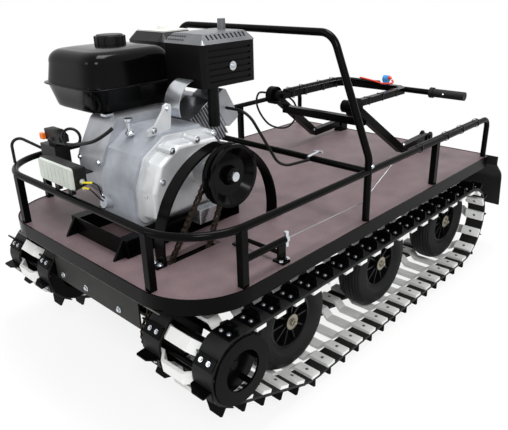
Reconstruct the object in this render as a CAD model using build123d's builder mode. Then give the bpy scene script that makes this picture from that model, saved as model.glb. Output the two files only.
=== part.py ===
# Tracked snow tug: a flat plywood deck on two rubber belt tracks, each carried by three pneumatic wheels and
# turned by a front drum; an open petrol engine stands at the front and a folding handle lies over the rear.
# Millimetres. X runs forward to the engine, Y to the left, Z up; the origin is on the ground under the middle.
from build123d import *
import math
import os

os.makedirs("parts", exist_ok=True)

# clearances
FIT = 0.3

# deck and its steel angle border
DECK_TOP = 422
DECK_LENGTH = 1550
DECK_WIDTH = 960
DECK_FRONT = 817
FRONT_CORNER_R = 185
REAR_CORNER_R = 36
PLY = 15
PLY_RECESS = 1.5
BORDER_HEIGHT = 42
BORDER_WALL = 4
BORDER_LEDGE = 34
DECK_MID_X = DECK_FRONT - DECK_LENGTH / 2
DECK_REAR = DECK_FRONT - DECK_LENGTH
PLY_TOP = DECK_TOP - PLY_RECESS
PLY_BOTTOM = PLY_TOP - PLY
BORDER_BOTTOM = DECK_TOP - BORDER_HEIGHT
SLOT_X = 601
SLOT_LENGTH = 182
SLOT_WIDTH = 46

# tracks: two rubber belts each, steel lugs outside, plastic crossbars inside
TRACK_OUTER_Y = DECK_WIDTH / 2 + 25
BELT_WIDTH = 68
BELT_GAP = 124
BELT = 8
LUG_HEIGHT = 28
LUG_WALL = 5
LUGS = 44
BAR_THICKNESS = 10
BAR_ARCH = 22
BAR_LENGTH = 34
BAR_SHOULDER = 24
TRACK_WIDTH = 2 * BELT_WIDTH + BELT_GAP
TRACK_MID_Y = TRACK_OUTER_Y - TRACK_WIDTH / 2
BELT_MID = (BELT_GAP + BELT_WIDTH) / 2

# pneumatic wheels standing in the tracks
TYRE_R = 155.4
TYRE_WIDTH = 94
TYRE_SHOULDER = 20
TYRE_SIDE = 52
TREAD_WIDTH = 66
RIM_R = 84
RIM_WIDTH = 64
RIM_WALL = 8
RIM_RIBS = 10
RIM_RIB = 5
WEB = 6
HUB_R = 20
AXLE_R = 10
FRONT_WHEEL_X = DECK_FRONT - 413
REAR_WHEEL_X = DECK_REAR + 193
WHEELS_X = (FRONT_WHEEL_X, (FRONT_WHEEL_X + REAR_WHEEL_X) / 2, REAR_WHEEL_X)
WHEEL_WRAP_R = TYRE_R + 2 * FIT - BAR_ARCH + BAR_THICKNESS
AXLE_Z = LUG_HEIGHT + BELT + WHEEL_WRAP_R

# front drums, their axle and the chain drive
DRUM_X = DECK_FRONT - 115
DRUM_Z = 235
DRUM_WRAP_R = 87
DRUM_RING_R = 90
DRUM_HOLE_R = 54
DRUM_RING_WALL = 6
DRUM_ROD_R = 8
DRIVE_AXLE_R = 12
CHAIN_Y = 222
CHAIN_WIDTH = 14
CHAIN_HEIGHT = 12
SPROCKET_R = 78
SMALL_SPROCKET_R = 34
SPROCKET_WALL = 6

# chassis under the deck
BEAM_Y = DECK_WIDTH / 2 - 290
BEAM_WIDTH = 40
BEAM_HEIGHT = 50
BEAM_FRONT = DECK_FRONT - 51
BEAM_REAR = DECK_REAR + 28
CROSS_X = (BEAM_FRONT - 31, BEAM_FRONT - 526, BEAM_REAR + 475, BEAM_REAR + 25)
CROSS_WIDTH = 40
HANGER_WALL = 8
HANGER_WIDTH = 90
FRONT_PLATE_WALL = 5
FRONT_PLATE_BOTTOM = 246
FRONT_PLATE_Y = (-232, 200)
BEAM_TOP = PLY_BOTTOM - BORDER_WALL

# rails, posts and hoop
RAIL_R = 10
RAIL_INSET = 17
RAIL_HEIGHT = 150
RAIL_Y = DECK_WIDTH / 2 - RAIL_INSET
RAIL_Z = DECK_TOP + RAIL_HEIGHT
RAIL_CORNER_R = 170
POST = 20
HOOP_R = 11
HOOP_X = 127
HOOP_KNEE = 190
HOOP_HEIGHT = 525
HOOP_LEAN = 138
HOOP_KNEE_Z = DECK_TOP + HOOP_KNEE
HOOP_TOP_Z = DECK_TOP + HOOP_HEIGHT
HOOP_TOP_Y = RAIL_Y - HOOP_LEAN
HOOP_BEND_R = 60
RAIL_FRONT_X = DECK_FRONT - RAIL_INSET
FRONT_POST_Y = RAIL_Y - 151
SIDE_POST_X = RAIL_FRONT_X - 156
REAR_POST_X = (DECK_REAR + 2 * HOOP_X) / 2 - 45.5
RAIL_REAR_X = DECK_REAR + 35
RAIL_REAR_R = 34

# rubber mud flaps behind the tracks
FLAP_WALL = 5
FLAP_WIDTH = 270
FLAP_REACH = 88
FLAP_DROP = 190
FLAP_STEP = 52
FLAP_BEND_R = 60

# engine block, centred on its crankshaft
CRANK_X = 482
CRANK_Z = DECK_TOP + 190
SUBFRAME_HEIGHT = 50
SUBFRAME_REAR = 330
SUBFRAME_FRONT = 742
SUBFRAME_WIDTH = 36
SUBFRAME_WALL = 4
SUBFRAME_Y = (-120, 118)
GUSSET = 34
ENGINE_BASE = DECK_TOP + SUBFRAME_HEIGHT
LEAN = math.radians(30)
CASE_X = (352, 676)
CASE_TOP = 95
CYLINDER = 130
HEAD_TOP = 262
HEAD = 58
FINS = 10
FIN = 3
FIN_PITCH = 10
FIN_DEPTH = 18
FIN_SPAN = 111.4
SHROUD = 2
SHROUD_FINS = 9
CASE_BACK_Y = -60
CYLINDER_Y = -4
CASE_FACE_Y = 92
COVER_FACE_Y = 150
FLANGE = 9
FAN_BACK_Y = -205
FAN_X = (340, 664)
FAN_BASE = 62
FAN_RISE = 318
FAN_Z = (DECK_TOP + FAN_BASE, DECK_TOP + FAN_RISE)
FAN_CORNER_R = 32
FAN_EDGE = 18
FAN_TOP_Z = FAN_Z[1]
RECOIL_R = 105
RECOIL_DEPTH = 50
CRANK_BOSS_R = 46
CRANK_BOSS = 14
CRANK_R = 12.7
BOLT_BOSS_R = 9
PULLEY_Y = 263
PULLEY_R = 86
PULLEY_WIDTH = 32
PULLEY_FLANGE = 6
PULLEY_GROOVE_R = 70
PULLEY_HUB_R = 22
PULLEY_DISH = 20
ARCH_Y = 225
ARCH_WIDTH = 38
ARCH_WALL = 6
ARCH_FRONT_X = 700
ARCH_REAR_X = 281
ARCH_TOP_X = 487
ARCH_RISE = 270
ARCH_TOP_Z = DECK_TOP + ARCH_RISE
ARCH_FOOT = 30

# bolt bosses round the closing cover: x, z above the deck, how far each stands out
COVER_BOSSES = ((488, 263, 48), (570, 254, 48), (609, 178, 48), (640, 140, 20), (632, 78, 20), (400, 262, 20), (376, 120, 20))

# tank, muffler and air cleaner
TANK_X = (346, 654)
TANK_FLANGE = 8
TANK_SEAM = 4
TANK_CORNER_R = 46
TANK_CROWN_R = 36
TANK_FEET = ((400, -110), (600, -110))
TANK_FOOT = 26
TANK_Y = (-372, -78)
TANK_TUB = 325
TANK_RISE = 396
TANK_HEIGHT = 494
TANK_BOTTOM = DECK_TOP + TANK_TUB
TANK_FLANGE_Z = DECK_TOP + TANK_RISE
TANK_TOP = DECK_TOP + TANK_HEIGHT
CAP_X = 474
CAP_Y = -247
CAP_R = 47
CAP_HEIGHT = 30
CAP_RIBS = 12
GUARD_X = (212, 420)
GUARD_Y = (-60, 108)
GUARD_BASE = 388
GUARD_HEIGHT = 532
GUARD_Z = (DECK_TOP + GUARD_BASE, DECK_TOP + GUARD_HEIGHT)
GUARD_CHAMFER = 26
GUARD_WALL = 2
GUARD_LIP = 5
GUARD_SLOTS = 10
GUARD_SLOT = 7
GUARD_HOLES = 8
LOUVRES = 6
LOUVRE_DEPTH = 5
PIPE_X = 372
PIPE_Y = 90
PIPE_R = 17
PIPE_DROP = 112
STUB_R = 12
STUB_HEIGHT = 30

# carburetor beside the cylinder head, and the port that carries the muffler
PORT_X = 290
PORT_R = 18
PORT_DROP = 40
CARB = 56
CARB_X = 285
CARB_RISE = 306
CARB_Z = DECK_TOP + CARB_RISE
CARB_Y = -200
NECK_R = 24

# air cleaner behind the tank
AIR_X = (182, 338)
AIR_Y = (-362, -170)
AIR_BASE = 370
AIR_HEIGHT = 492
AIR_Z = (DECK_TOP + AIR_BASE, DECK_TOP + AIR_HEIGHT)
AIR_CORNER_R = 26
AIR_LID = 26
AIR_PLATE = 4
WING_R = 9

# lamp over the front rail
LAMP_Y = (-134, 40)
LAMP_Z = (DECK_TOP + 182, DECK_TOP + 247)
LAMP_X = (770, 808)
LENS = 7
LENS_RIBS = 7

# clutch lever on the deck beside the left rail, with its tube, link rod and wire
LEVER_Y = RAIL_Y - 15
LEVER_X = 490
LEVER_TUBE_R = 9
LEVER_TUBE_FRONT = 632
LEVER_TUBE_RISE = 58
LEVER_PLATE = 6
LEVER_PLATE_WIDTH = 28
CLAMP_R = 6
CLAMP_LENGTH = 40
LINK_R = 6
LINK_Y = 300
LINK_RISE = 24
WIRE_R = 1.5
WIRE_END_X = -66

# switch box beside the fan cover, and the cables
BOX_X = (668, 716)
BOX_Y = (-312, -226)
BOX_ARM_Y = -120
BOX_RISE = 168
BOX_HEIGHT = 62
BOX_PLATE = 4
CABLE_R = 4.5
CABLE_END_X = 764
CABLE_END_Y = -403
CABLE_HOOP_Y = 262

# folding handle, lying forward over the deck with its bar turned back
HINGE_X = DECK_REAR + 33
HINGE_RISE = 38
HINGE_Z = DECK_TOP + HINGE_RISE
ARM = 28
ARM_Y = 215
KNEE_X = HINGE_X + 205
KNEE_Z = HINGE_Z - 8
PIVOT_X = HINGE_X + 500
PIVOT_Z = HINGE_Z + 204
PIVOT_Y = 188
PIVOT_R = 34
STEM_BAR_X = PIVOT_X - 65
STEM_BAR_Z = PIVOT_Z - 64
FORK = 24
FORK_Y = 155
BAR_X = HINGE_X + 92
BAR_Z = PIVOT_Z - 2
GRIP_END_Y = 402
GRIP_LENGTH = 125
BAR_R = 11
GRIP_R = 16
PIN_R = 8
PIN_HEAD_R = 14
CORNER = 30
GRIP_COLLAR = 14
SWITCH = 22
SWITCH_R = 28
SWITCH_IN = 2
SWITCH_Y = 66
CHEEK = 5
CHEEK_WIDTH = 44
CHEEK_GAP = 1


def save(builder, node, colour="#2B2B2B"):
    """Label the finished piece and write it as one STEP file."""
    builder.part.label = node
    builder.part.color = Color(colour)
    export_step(builder.part, f"parts/{node}.step")


def deck_outline(inset, z):
    """The deck's plan: a rectangle with two wide front corners, drawn in from its edge by inset."""
    with BuildSketch(Plane.XY.offset(z)) as outline:
        with Locations((DECK_MID_X, 0)):
            Rectangle(DECK_LENGTH - 2 * inset, DECK_WIDTH - 2 * inset)
        fillet(outline.vertices().group_by(Axis.X)[-1], FRONT_CORNER_R - inset)
        fillet(outline.vertices().group_by(Axis.X)[0], max(REAR_CORNER_R - inset, 1))
    return outline.sketch


with BuildPart() as deck_board:
    extrude(deck_outline(BORDER_WALL + FIT, PLY_BOTTOM), amount=PLY)
    with BuildSketch(Plane.XY.offset(PLY_BOTTOM)):
        with Locations((SLOT_X, CHAIN_Y)):
            Rectangle(SLOT_LENGTH, SLOT_WIDTH)
    extrude(amount=PLY, mode=Mode.SUBTRACT)
save(deck_board, "deck_board", "#6B5048")

with BuildPart() as deck_border:
    extrude(deck_outline(0, BORDER_BOTTOM), amount=BORDER_HEIGHT)
    extrude(deck_outline(BORDER_WALL, BORDER_BOTTOM), amount=BORDER_HEIGHT, mode=Mode.SUBTRACT)
    extrude(deck_outline(BORDER_WALL, PLY_BOTTOM - BORDER_WALL), amount=BORDER_WALL)
    extrude(deck_outline(BORDER_LEDGE, PLY_BOTTOM - BORDER_WALL), amount=BORDER_WALL, mode=Mode.SUBTRACT)
save(deck_border, "deck_border")


def track_loop(offset):
    """The track's side outline: the hull of the drum and the first and last wheel, offset from the belt's inside."""
    with BuildSketch(Plane.XZ) as loop:
        with Locations((DRUM_X, DRUM_Z)):
            Circle(DRUM_WRAP_R + offset)
        with Locations((WHEELS_X[0], AXLE_Z), (WHEELS_X[-1], AXLE_Z)):
            Circle(WHEEL_WRAP_R + offset)
        make_hull()
    return loop.sketch


belt_line = track_loop(0).face().outer_wire()
track_centre = Vector((DRUM_X + WHEELS_X[-1]) / 2, 0, AXLE_Z)


def station(k):
    """A plane across the track at lug k: its x lies across the track, its y points inwards, its z along the belt."""
    origin = belt_line.position_at(k / LUGS)
    along = belt_line.tangent_at(k / LUGS)
    plane = Plane(origin=origin, x_dir=(0, 1, 0), z_dir=along)
    if plane.y_dir.dot(track_centre - origin) > 0:
        return plane
    return Plane(origin=origin, x_dir=(0, 1, 0), z_dir=along * -1)


def lug_points(k):
    """One lug in side view: the belt's outside before it, its edge on the ground, and the belt's outside after it."""
    root = belt_line.position_at(k / LUGS)
    along = belt_line.tangent_at(k / LUGS) * LUG_WALL
    out = station(k).y_dir * -1
    points = (root + out * BELT - along, root + out * (BELT + LUG_HEIGHT), root + out * BELT + along)
    return [(p.X, p.Z) for p in points]


def corner_point(k, offset):
    """The corner between the flats of lugs k and k + 1, offset outwards, or nothing where both lie in one line."""
    here, ahead = belt_line.tangent_at(k / LUGS), belt_line.tangent_at((k + 1) / LUGS)
    turn = here.X * ahead.Z - here.Z * ahead.X
    if abs(turn) < 0.001:
        return []
    start = belt_line.position_at(k / LUGS) + station(k).y_dir * -offset
    gap = belt_line.position_at((k + 1) / LUGS) + station(k + 1).y_dir * -offset - start
    reach = (gap.X * ahead.Z - gap.Z * ahead.X) / turn
    return [(start.X + here.X * reach, start.Z + here.Z * reach)]


stations = [station(k) for k in range(LUGS)]
belt_outside = [point for k in range(LUGS) for point in lug_points(k) + corner_point(k, BELT)]
belt_inside = [point for k in range(LUGS) for point in corner_point(k, 0)]

with BuildPart() as crossbar:
    half_length = TRACK_WIDTH / 2
    tip = BELT_GAP / 2 - 1
    flat = BELT_GAP / 2 - BAR_SHOULDER
    with BuildSketch():
        with BuildLine():
            steps = [(half_length, FIT), (tip, FIT), (flat, FIT - BAR_ARCH)]
            inside = [(x, y + BAR_THICKNESS) for x, y in steps]
            outside = [(-x, y) for x, y in steps] + steps[::-1]
            Polyline(*inside, *[(-x, y) for x, y in reversed(inside)], *outside, close=True)
        make_face()
    extrude(amount=BAR_LENGTH / 2, both=True)

for side, name in ((1, "left"), (-1, "right")):
    middle_y = side * TRACK_MID_Y

    with BuildPart() as belts:
        for belt_y in (middle_y - BELT_MID, middle_y + BELT_MID):
            with BuildSketch(Plane.XZ.offset(-belt_y)):
                with BuildLine():
                    Polyline(*belt_outside, close=True)
                make_face()
                with BuildLine():
                    Polyline(*belt_inside, close=True)
                make_face(mode=Mode.SUBTRACT)
            extrude(amount=BELT_WIDTH / 2, both=True)
    save(belts, f"track_belts_{name}", "#262626")

    with BuildPart() as crossbars:
        spots = [Plane(p.origin + Vector(0, middle_y, 0), p.x_dir, p.z_dir) for p in stations]
        with Locations(*spots):
            add(crossbar.part)
        add(belts.part, mode=Mode.SUBTRACT)
    save(crossbars, f"track_crossbars_{name}", "#E6E6E2")

    with BuildPart() as tyres:
        for wheel_x in WHEELS_X:
            with BuildSketch(Plane(origin=(wheel_x, middle_y, AXLE_Z), x_dir=(0, 1, 0), z_dir=(1, 0, 0))):
                with BuildLine():
                    half = [(TREAD_WIDTH / 2, TYRE_R), (TYRE_WIDTH / 2 - 4, TYRE_R - TYRE_SHOULDER),
                            (TYRE_WIDTH / 2, TYRE_R - TYRE_SIDE), (RIM_WIDTH / 2, RIM_R)]
                    Polyline(*half, *[(-y, r) for y, r in reversed(half)], close=True)
                make_face()
            revolve(axis=Axis((wheel_x, middle_y, AXLE_Z), (0, 1, 0)))
    save(tyres, f"tyres_{name}", "#1F1F1F")

    with BuildPart() as rims:
        for wheel_x in WHEELS_X:
            with BuildSketch(Plane.XZ.offset(-middle_y)):
                with Locations((wheel_x, AXLE_Z)):
                    Circle(RIM_R - FIT)
                    Circle(RIM_R - RIM_WALL, mode=Mode.SUBTRACT)
            extrude(amount=RIM_WIDTH / 2, both=True)
            with BuildSketch(Plane.XZ.offset(-middle_y - side * WEB)):
                with Locations((wheel_x, AXLE_Z)):
                    Circle(RIM_R - RIM_WALL / 2)
                    Circle(AXLE_R + FIT / 3, mode=Mode.SUBTRACT)
            extrude(amount=WEB / 2, both=True)
            with BuildSketch(Plane.XZ.offset(-middle_y - side * 1.5 * WEB)):
                with Locations((wheel_x, AXLE_Z)):
                    with PolarLocations((HUB_R + RIM_R - RIM_WALL) / 2, RIM_RIBS):
                        Rectangle(RIM_R - HUB_R, RIM_RIB)
            extrude(amount=-side * (RIM_WIDTH / 2 - 1.5 * WEB - 4))
            with BuildSketch(Plane.XZ.offset(-middle_y)):
                with Locations((wheel_x, AXLE_Z)):
                    Circle(HUB_R)
                    Circle(AXLE_R + FIT / 3, mode=Mode.SUBTRACT)
            extrude(amount=RIM_WIDTH / 2 + 4, both=True)
    save(rims, f"rims_{name}", "#1B1B1B")

    with BuildPart() as drum:
        ring_spots = (TRACK_OUTER_Y + FIT, TRACK_OUTER_Y - TRACK_WIDTH - FIT - DRUM_RING_WALL)
        for ring_y in ring_spots:
            with BuildSketch(Plane.XZ.offset(-side * (ring_y + DRUM_RING_WALL / 2))):
                with Locations((DRUM_X, DRUM_Z)):
                    Circle(DRUM_RING_R)
                    Circle(DRUM_HOLE_R, mode=Mode.SUBTRACT)
            extrude(amount=DRUM_RING_WALL / 2, both=True)
        with BuildSketch(Plane.XZ.offset(-middle_y)):
            with Locations((DRUM_X, DRUM_Z)):
                with PolarLocations((DRUM_HOLE_R + DRUM_WRAP_R - BAR_THICKNESS) / 2, 6):
                    Circle(DRUM_ROD_R)
        extrude(amount=TRACK_WIDTH / 2 + FIT, both=True)
        for disc_y in (middle_y - BELT_MID, middle_y + BELT_MID):
            with BuildSketch(Plane.XZ.offset(-disc_y)):
                with Locations((DRUM_X, DRUM_Z)):
                    Circle(DRUM_WRAP_R - BAR_THICKNESS - 2 * FIT)
                    Circle(DRIVE_AXLE_R + FIT / 3, mode=Mode.SUBTRACT)
            extrude(amount=DRUM_RING_WALL, both=True)
    save(drum, f"drum_{name}")

with BuildPart() as wheel_axles:
    with BuildSketch(Plane.XZ):
        with Locations(*[(x, AXLE_Z) for x in WHEELS_X]):
            Circle(AXLE_R)
    extrude(amount=TRACK_MID_Y + RIM_WIDTH / 2 + 12, both=True)
save(wheel_axles, "wheel_axles", "#8A8A88")

with BuildPart() as drive_axle:
    with BuildSketch(Plane.XZ):
        with Locations((DRUM_X, DRUM_Z)):
            Circle(DRIVE_AXLE_R)
    extrude(amount=TRACK_MID_Y + BELT_MID + 10, both=True)
save(drive_axle, "drive_axle", "#8A8A88")

with BuildPart() as chassis:
    for beam_y in (-BEAM_Y, BEAM_Y):
        with Locations(((BEAM_FRONT + BEAM_REAR) / 2, beam_y, BEAM_TOP - BEAM_HEIGHT / 2)):
            Box(BEAM_FRONT - BEAM_REAR, BEAM_WIDTH, BEAM_HEIGHT)
        wheel_spots = [(x, AXLE_Z, AXLE_R) for x in WHEELS_X] + [(DRUM_X, DRUM_Z, DRIVE_AXLE_R)]
        for hanger_x, hanger_z, bore_r in wheel_spots:
            with BuildSketch(Plane.XZ.offset(-beam_y)):
                with BuildLine():
                    Polyline(
                        (hanger_x - HANGER_WIDTH / 2, BEAM_TOP - BEAM_HEIGHT), (hanger_x - 24, hanger_z - 24),
                        (hanger_x + 24, hanger_z - 24), (hanger_x + HANGER_WIDTH / 2, BEAM_TOP - BEAM_HEIGHT), close=True)
                make_face()
                with Locations((hanger_x, hanger_z)):
                    Circle(bore_r + FIT / 3, mode=Mode.SUBTRACT)
            extrude(amount=HANGER_WALL / 2, both=True)
    for cross_x in CROSS_X:
        with Locations((cross_x, 0, BEAM_TOP - BEAM_HEIGHT / 2)):
            Box(CROSS_WIDTH, 2 * BEAM_Y, BEAM_HEIGHT)
save(chassis, "chassis_frame")

with BuildPart() as front_plate:
    with BuildSketch(Plane.YZ.offset(BEAM_FRONT)):
        with Locations((sum(FRONT_PLATE_Y) / 2, (FRONT_PLATE_BOTTOM + BEAM_TOP) / 2)):
            Rectangle(FRONT_PLATE_Y[1] - FRONT_PLATE_Y[0], BEAM_TOP - FRONT_PLATE_BOTTOM)
    extrude(amount=FRONT_PLATE_WALL)
save(front_plate, "front_plate")


def tube(points, radii, tube_r):
    """A round tube swept along straight runs joined by arcs, one radius for each bend."""
    with BuildPart() as swept:
        with BuildLine() as path:
            FilletPolyline(*points, radius=radii)
        with BuildSketch(Plane(origin=path.line @ 0, z_dir=path.line % 0)):
            Circle(tube_r)
        sweep()
    return swept.part


hoop_side = (HOOP_X, RAIL_Y)
with BuildPart() as hoop:
    add(tube([(HOOP_X, -RAIL_Y, PLY_TOP), (HOOP_X, -RAIL_Y, HOOP_KNEE_Z), (HOOP_X, -HOOP_TOP_Y, HOOP_TOP_Z),
              (HOOP_X, HOOP_TOP_Y, HOOP_TOP_Z), (HOOP_X, RAIL_Y, HOOP_KNEE_Z), (HOOP_X, RAIL_Y, PLY_TOP)],
             HOOP_BEND_R, HOOP_R))
    with BuildSketch(Plane.XZ):
        with Locations((HOOP_X, RAIL_Z)):
            Circle(RAIL_R)
    extrude(amount=RAIL_Y, both=True)
save(hoop, "hoop")


def posts(spots):
    """Square posts from the board up to the middle of the rail."""
    for x, y in spots:
        with Locations((x, y, (PLY_TOP + RAIL_Z) / 2)):
            Box(POST, POST, RAIL_Z - PLY_TOP)


with BuildPart() as front_rail:
    add(tube([(HOOP_X, -RAIL_Y, RAIL_Z), (RAIL_FRONT_X, -RAIL_Y, RAIL_Z), (RAIL_FRONT_X, RAIL_Y, RAIL_Z),
              (HOOP_X, RAIL_Y, RAIL_Z)], RAIL_CORNER_R, RAIL_R))
    posts([(SIDE_POST_X, -RAIL_Y), (SIDE_POST_X, RAIL_Y), (RAIL_FRONT_X, -FRONT_POST_Y), (RAIL_FRONT_X, FRONT_POST_Y)])
    add(hoop.part, mode=Mode.SUBTRACT)
save(front_rail, "front_rail")

for side, name in ((1, "left"), (-1, "right")):
    with BuildPart() as rear_rail:
        y = side * RAIL_Y
        add(tube([(HOOP_X, y, RAIL_Z), (RAIL_REAR_X, y, RAIL_Z), (RAIL_REAR_X, y, PLY_TOP)], RAIL_REAR_R, RAIL_R))
        posts([(REAR_POST_X, y)])
        add(hoop.part, mode=Mode.SUBTRACT)
    save(rear_rail, f"rear_rail_{name}")

for side, name in ((1, "left"), (-1, "right")):
    with BuildPart() as mud_flap:
        with BuildSketch(Plane.XZ.offset(-side * TRACK_MID_Y)):
            with BuildLine():
                flap_x = DECK_REAR - FLAP_WALL / 2
                FilletPolyline(
                    (flap_x, DECK_TOP - BORDER_WALL), (flap_x, BORDER_BOTTOM + BORDER_WALL),
                    (DECK_REAR - 0.8 * FLAP_REACH, BORDER_BOTTOM - FLAP_STEP),
                    (DECK_REAR - FLAP_REACH, BORDER_BOTTOM - FLAP_DROP), radius=(FLAP_BEND_R / 5, FLAP_BEND_R))
            trace(line_width=FLAP_WALL)
        extrude(amount=FLAP_WIDTH / 2, both=True)
    save(mud_flap, f"mud_flap_{name}", "#161616")

with BuildPart() as drive_sprocket:
    with BuildSketch(Plane.XZ.offset(-CHAIN_Y)):
        with Locations((DRUM_X, DRUM_Z)):
            Circle(SPROCKET_R - CHAIN_HEIGHT / 2)
            Circle(DRIVE_AXLE_R + FIT / 3, mode=Mode.SUBTRACT)
    extrude(amount=SPROCKET_WALL / 2, both=True)
save(drive_sprocket, "drive_sprocket", "#7A6A50")

with BuildPart() as engine_sprocket:
    with BuildSketch(Plane.XZ.offset(-CHAIN_Y)):
        with Locations((CRANK_X, CRANK_Z)):
            Circle(SMALL_SPROCKET_R - CHAIN_HEIGHT / 2)
            Circle(CRANK_R + FIT / 3, mode=Mode.SUBTRACT)
    extrude(amount=SPROCKET_WALL / 2, both=True)
save(engine_sprocket, "engine_sprocket", "#7A6A50")


def chain_loop(offset):
    """The chain's side outline round both sprockets, offset from its middle."""
    with BuildSketch(Plane.XZ.offset(-CHAIN_Y)) as loop:
        with Locations((DRUM_X, DRUM_Z)):
            Circle(SPROCKET_R + offset)
        with Locations((CRANK_X, CRANK_Z)):
            Circle(SMALL_SPROCKET_R + offset)
        make_hull()
    return loop.sketch


with BuildPart() as drive_chain:
    extrude(chain_loop(CHAIN_HEIGHT / 2), amount=CHAIN_WIDTH / 2, both=True)
    extrude(chain_loop(-CHAIN_HEIGHT / 2 + FIT), amount=CHAIN_WIDTH / 2, both=True, mode=Mode.SUBTRACT)
save(drive_chain, "drive_chain", "#4A3F30")

with BuildPart() as engine_subframe:
    with BuildSketch(Plane.YZ.offset(SUBFRAME_REAR)):
        for rail_y in SUBFRAME_Y:
            with Locations((rail_y, (PLY_TOP + ENGINE_BASE) / 2)):
                Rectangle(SUBFRAME_WIDTH, ENGINE_BASE - PLY_TOP)
            turn = 1 if rail_y > 0 else -1
            with Locations((rail_y + turn * SUBFRAME_WALL, (PLY_TOP + ENGINE_BASE) / 2)):
                Rectangle(SUBFRAME_WIDTH, ENGINE_BASE - PLY_TOP - 2 * SUBFRAME_WALL, mode=Mode.SUBTRACT)
    extrude(amount=SUBFRAME_FRONT - SUBFRAME_REAR)
    for cross_x in (SUBFRAME_REAR + SUBFRAME_WALL / 2, SUBFRAME_FRONT - SUBFRAME_WALL / 2):
        with Locations((cross_x, sum(SUBFRAME_Y) / 2, (PLY_TOP + ENGINE_BASE) / 2)):
            Box(SUBFRAME_WALL, SUBFRAME_Y[1] - SUBFRAME_Y[0] + SUBFRAME_WIDTH, ENGINE_BASE - PLY_TOP)
    for rail_y in SUBFRAME_Y:
        with BuildSketch(Plane.XZ.offset(-rail_y)):
            with BuildLine():
                Polyline((SUBFRAME_FRONT, ENGINE_BASE), (SUBFRAME_FRONT + GUSSET, PLY_TOP), (SUBFRAME_FRONT, PLY_TOP),
                         close=True)
            make_face()
        extrude(amount=SUBFRAME_WALL, both=True)
save(engine_subframe, "engine_subframe")

# the cylinder leans back from the crankshaft; its own plane has x along the bore and y across it
bore = Plane(origin=(CRANK_X, CYLINDER_Y, CRANK_Z), x_dir=(-math.cos(LEAN), 0, math.sin(LEAN)),
             z_dir=(0, 1, 0))


def bore_point(along, across):
    """A point of the case's side outline given along and across the bore, as x and z."""
    return (CRANK_X - along * math.cos(LEAN) + across * math.sin(LEAN),
            CRANK_Z + along * math.sin(LEAN) + across * math.cos(LEAN))


with BuildPart() as crankcase:
    with BuildSketch(Plane.XZ.offset(-CASE_BACK_Y)):
        with BuildLine():
            Polyline(
                (CASE_X[0], ENGINE_BASE), (CASE_X[1], ENGINE_BASE), (CASE_X[1], CRANK_Z - 30), (CASE_X[1] - 34, CRANK_Z + 55),
                (CASE_X[1] - 110, CRANK_Z + 104), bore_point(CASE_TOP, CYLINDER / 2), bore_point(CASE_TOP, -CYLINDER / 2),
                (CASE_X[0], CRANK_Z - 60), close=True)
        make_face()
    extrude(amount=CASE_BACK_Y - CASE_FACE_Y)
    fillet(crankcase.edges().filter_by(Axis.Y).group_by(Axis.X)[-1], 16)
    with BuildSketch(Plane(origin=(CASE_X[1] - 8, -28, CRANK_Z - 95), z_dir=(1, 0, 0.35))):
        Circle(17)
    extrude(amount=30)
save(crankcase, "crankcase", "#B9BAB8")


def cover_outline(inset, y):
    """The closing cover's outline inside the case's, drawn in by inset at depth y."""
    with BuildSketch(Plane.XZ.offset(-y)) as outline:
        with BuildLine():
            Polyline(
                (CASE_X[0] + 8, ENGINE_BASE + 12), (CASE_X[1] - 8, ENGINE_BASE + 12), (CASE_X[1] - 8, CRANK_Z - 30),
                (CASE_X[1] - 40, CRANK_Z + 50), (CASE_X[1] - 114, CRANK_Z + 96), (CASE_X[0] + 60, CRANK_Z + 90),
                (CASE_X[0] + 8, CRANK_Z + 20), close=True)
        make_face()
        fillet(outline.vertices(), 24)
        if inset:
            offset(amount=-inset, mode=Mode.REPLACE)
    return outline.sketch


with BuildPart() as side_cover:
    extrude(cover_outline(0, CASE_FACE_Y + FIT), amount=-FLANGE)
    extrude(cover_outline(14, CASE_FACE_Y + FLANGE), amount=-(COVER_FACE_Y - CASE_FACE_Y - FLANGE), taper=6)
    fillet(side_cover.edges().group_by(Axis.Y)[-1], 12)
    with BuildSketch(Plane.XZ.offset(-COVER_FACE_Y + 1)):
        with Locations((CRANK_X, CRANK_Z)):
            Circle(CRANK_BOSS_R)
    extrude(amount=-CRANK_BOSS - 1)
    for x, rise, reach in COVER_BOSSES:
        with BuildSketch(Plane.XZ.offset(-CASE_FACE_Y - FLANGE / 2)):
            with Locations((x, DECK_TOP + rise)):
                Circle(BOLT_BOSS_R)
        extrude(amount=-reach)
save(side_cover, "side_cover", "#BDBEBC")

with BuildPart() as crankshaft:
    with BuildSketch(Plane.XZ.offset(-COVER_FACE_Y - CRANK_BOSS)):
        with Locations((CRANK_X, CRANK_Z)):
            Circle(CRANK_R)
    extrude(amount=-(PULLEY_Y + PULLEY_WIDTH / 2 + 6 - COVER_FACE_Y - CRANK_BOSS))
save(crankshaft, "crankshaft", "#9A9A98")

with BuildPart() as fan_cover:
    with BuildSketch(Plane.XZ.offset(-CASE_BACK_Y + FIT)):
        with BuildLine():
            Polyline(
                (FAN_X[0], FAN_Z[0] + 60), (FAN_X[0] + 60, FAN_Z[0]), (FAN_X[1] - 60, FAN_Z[0]), (FAN_X[1], FAN_Z[0] + 60),
                (FAN_X[1], FAN_Z[0] + 150), (FAN_X[1] - 60, FAN_Z[1]), (FAN_X[0], FAN_Z[1]), close=True)
        make_face()
    extrude(amount=CASE_BACK_Y - FIT - FAN_BACK_Y)
    fillet(fan_cover.edges().filter_by(Axis.Y), FAN_CORNER_R)
    chamfer(fan_cover.edges().group_by(Axis.Y)[0], FAN_EDGE)
save(fan_cover, "fan_cover", "#A9AAA8")

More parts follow.
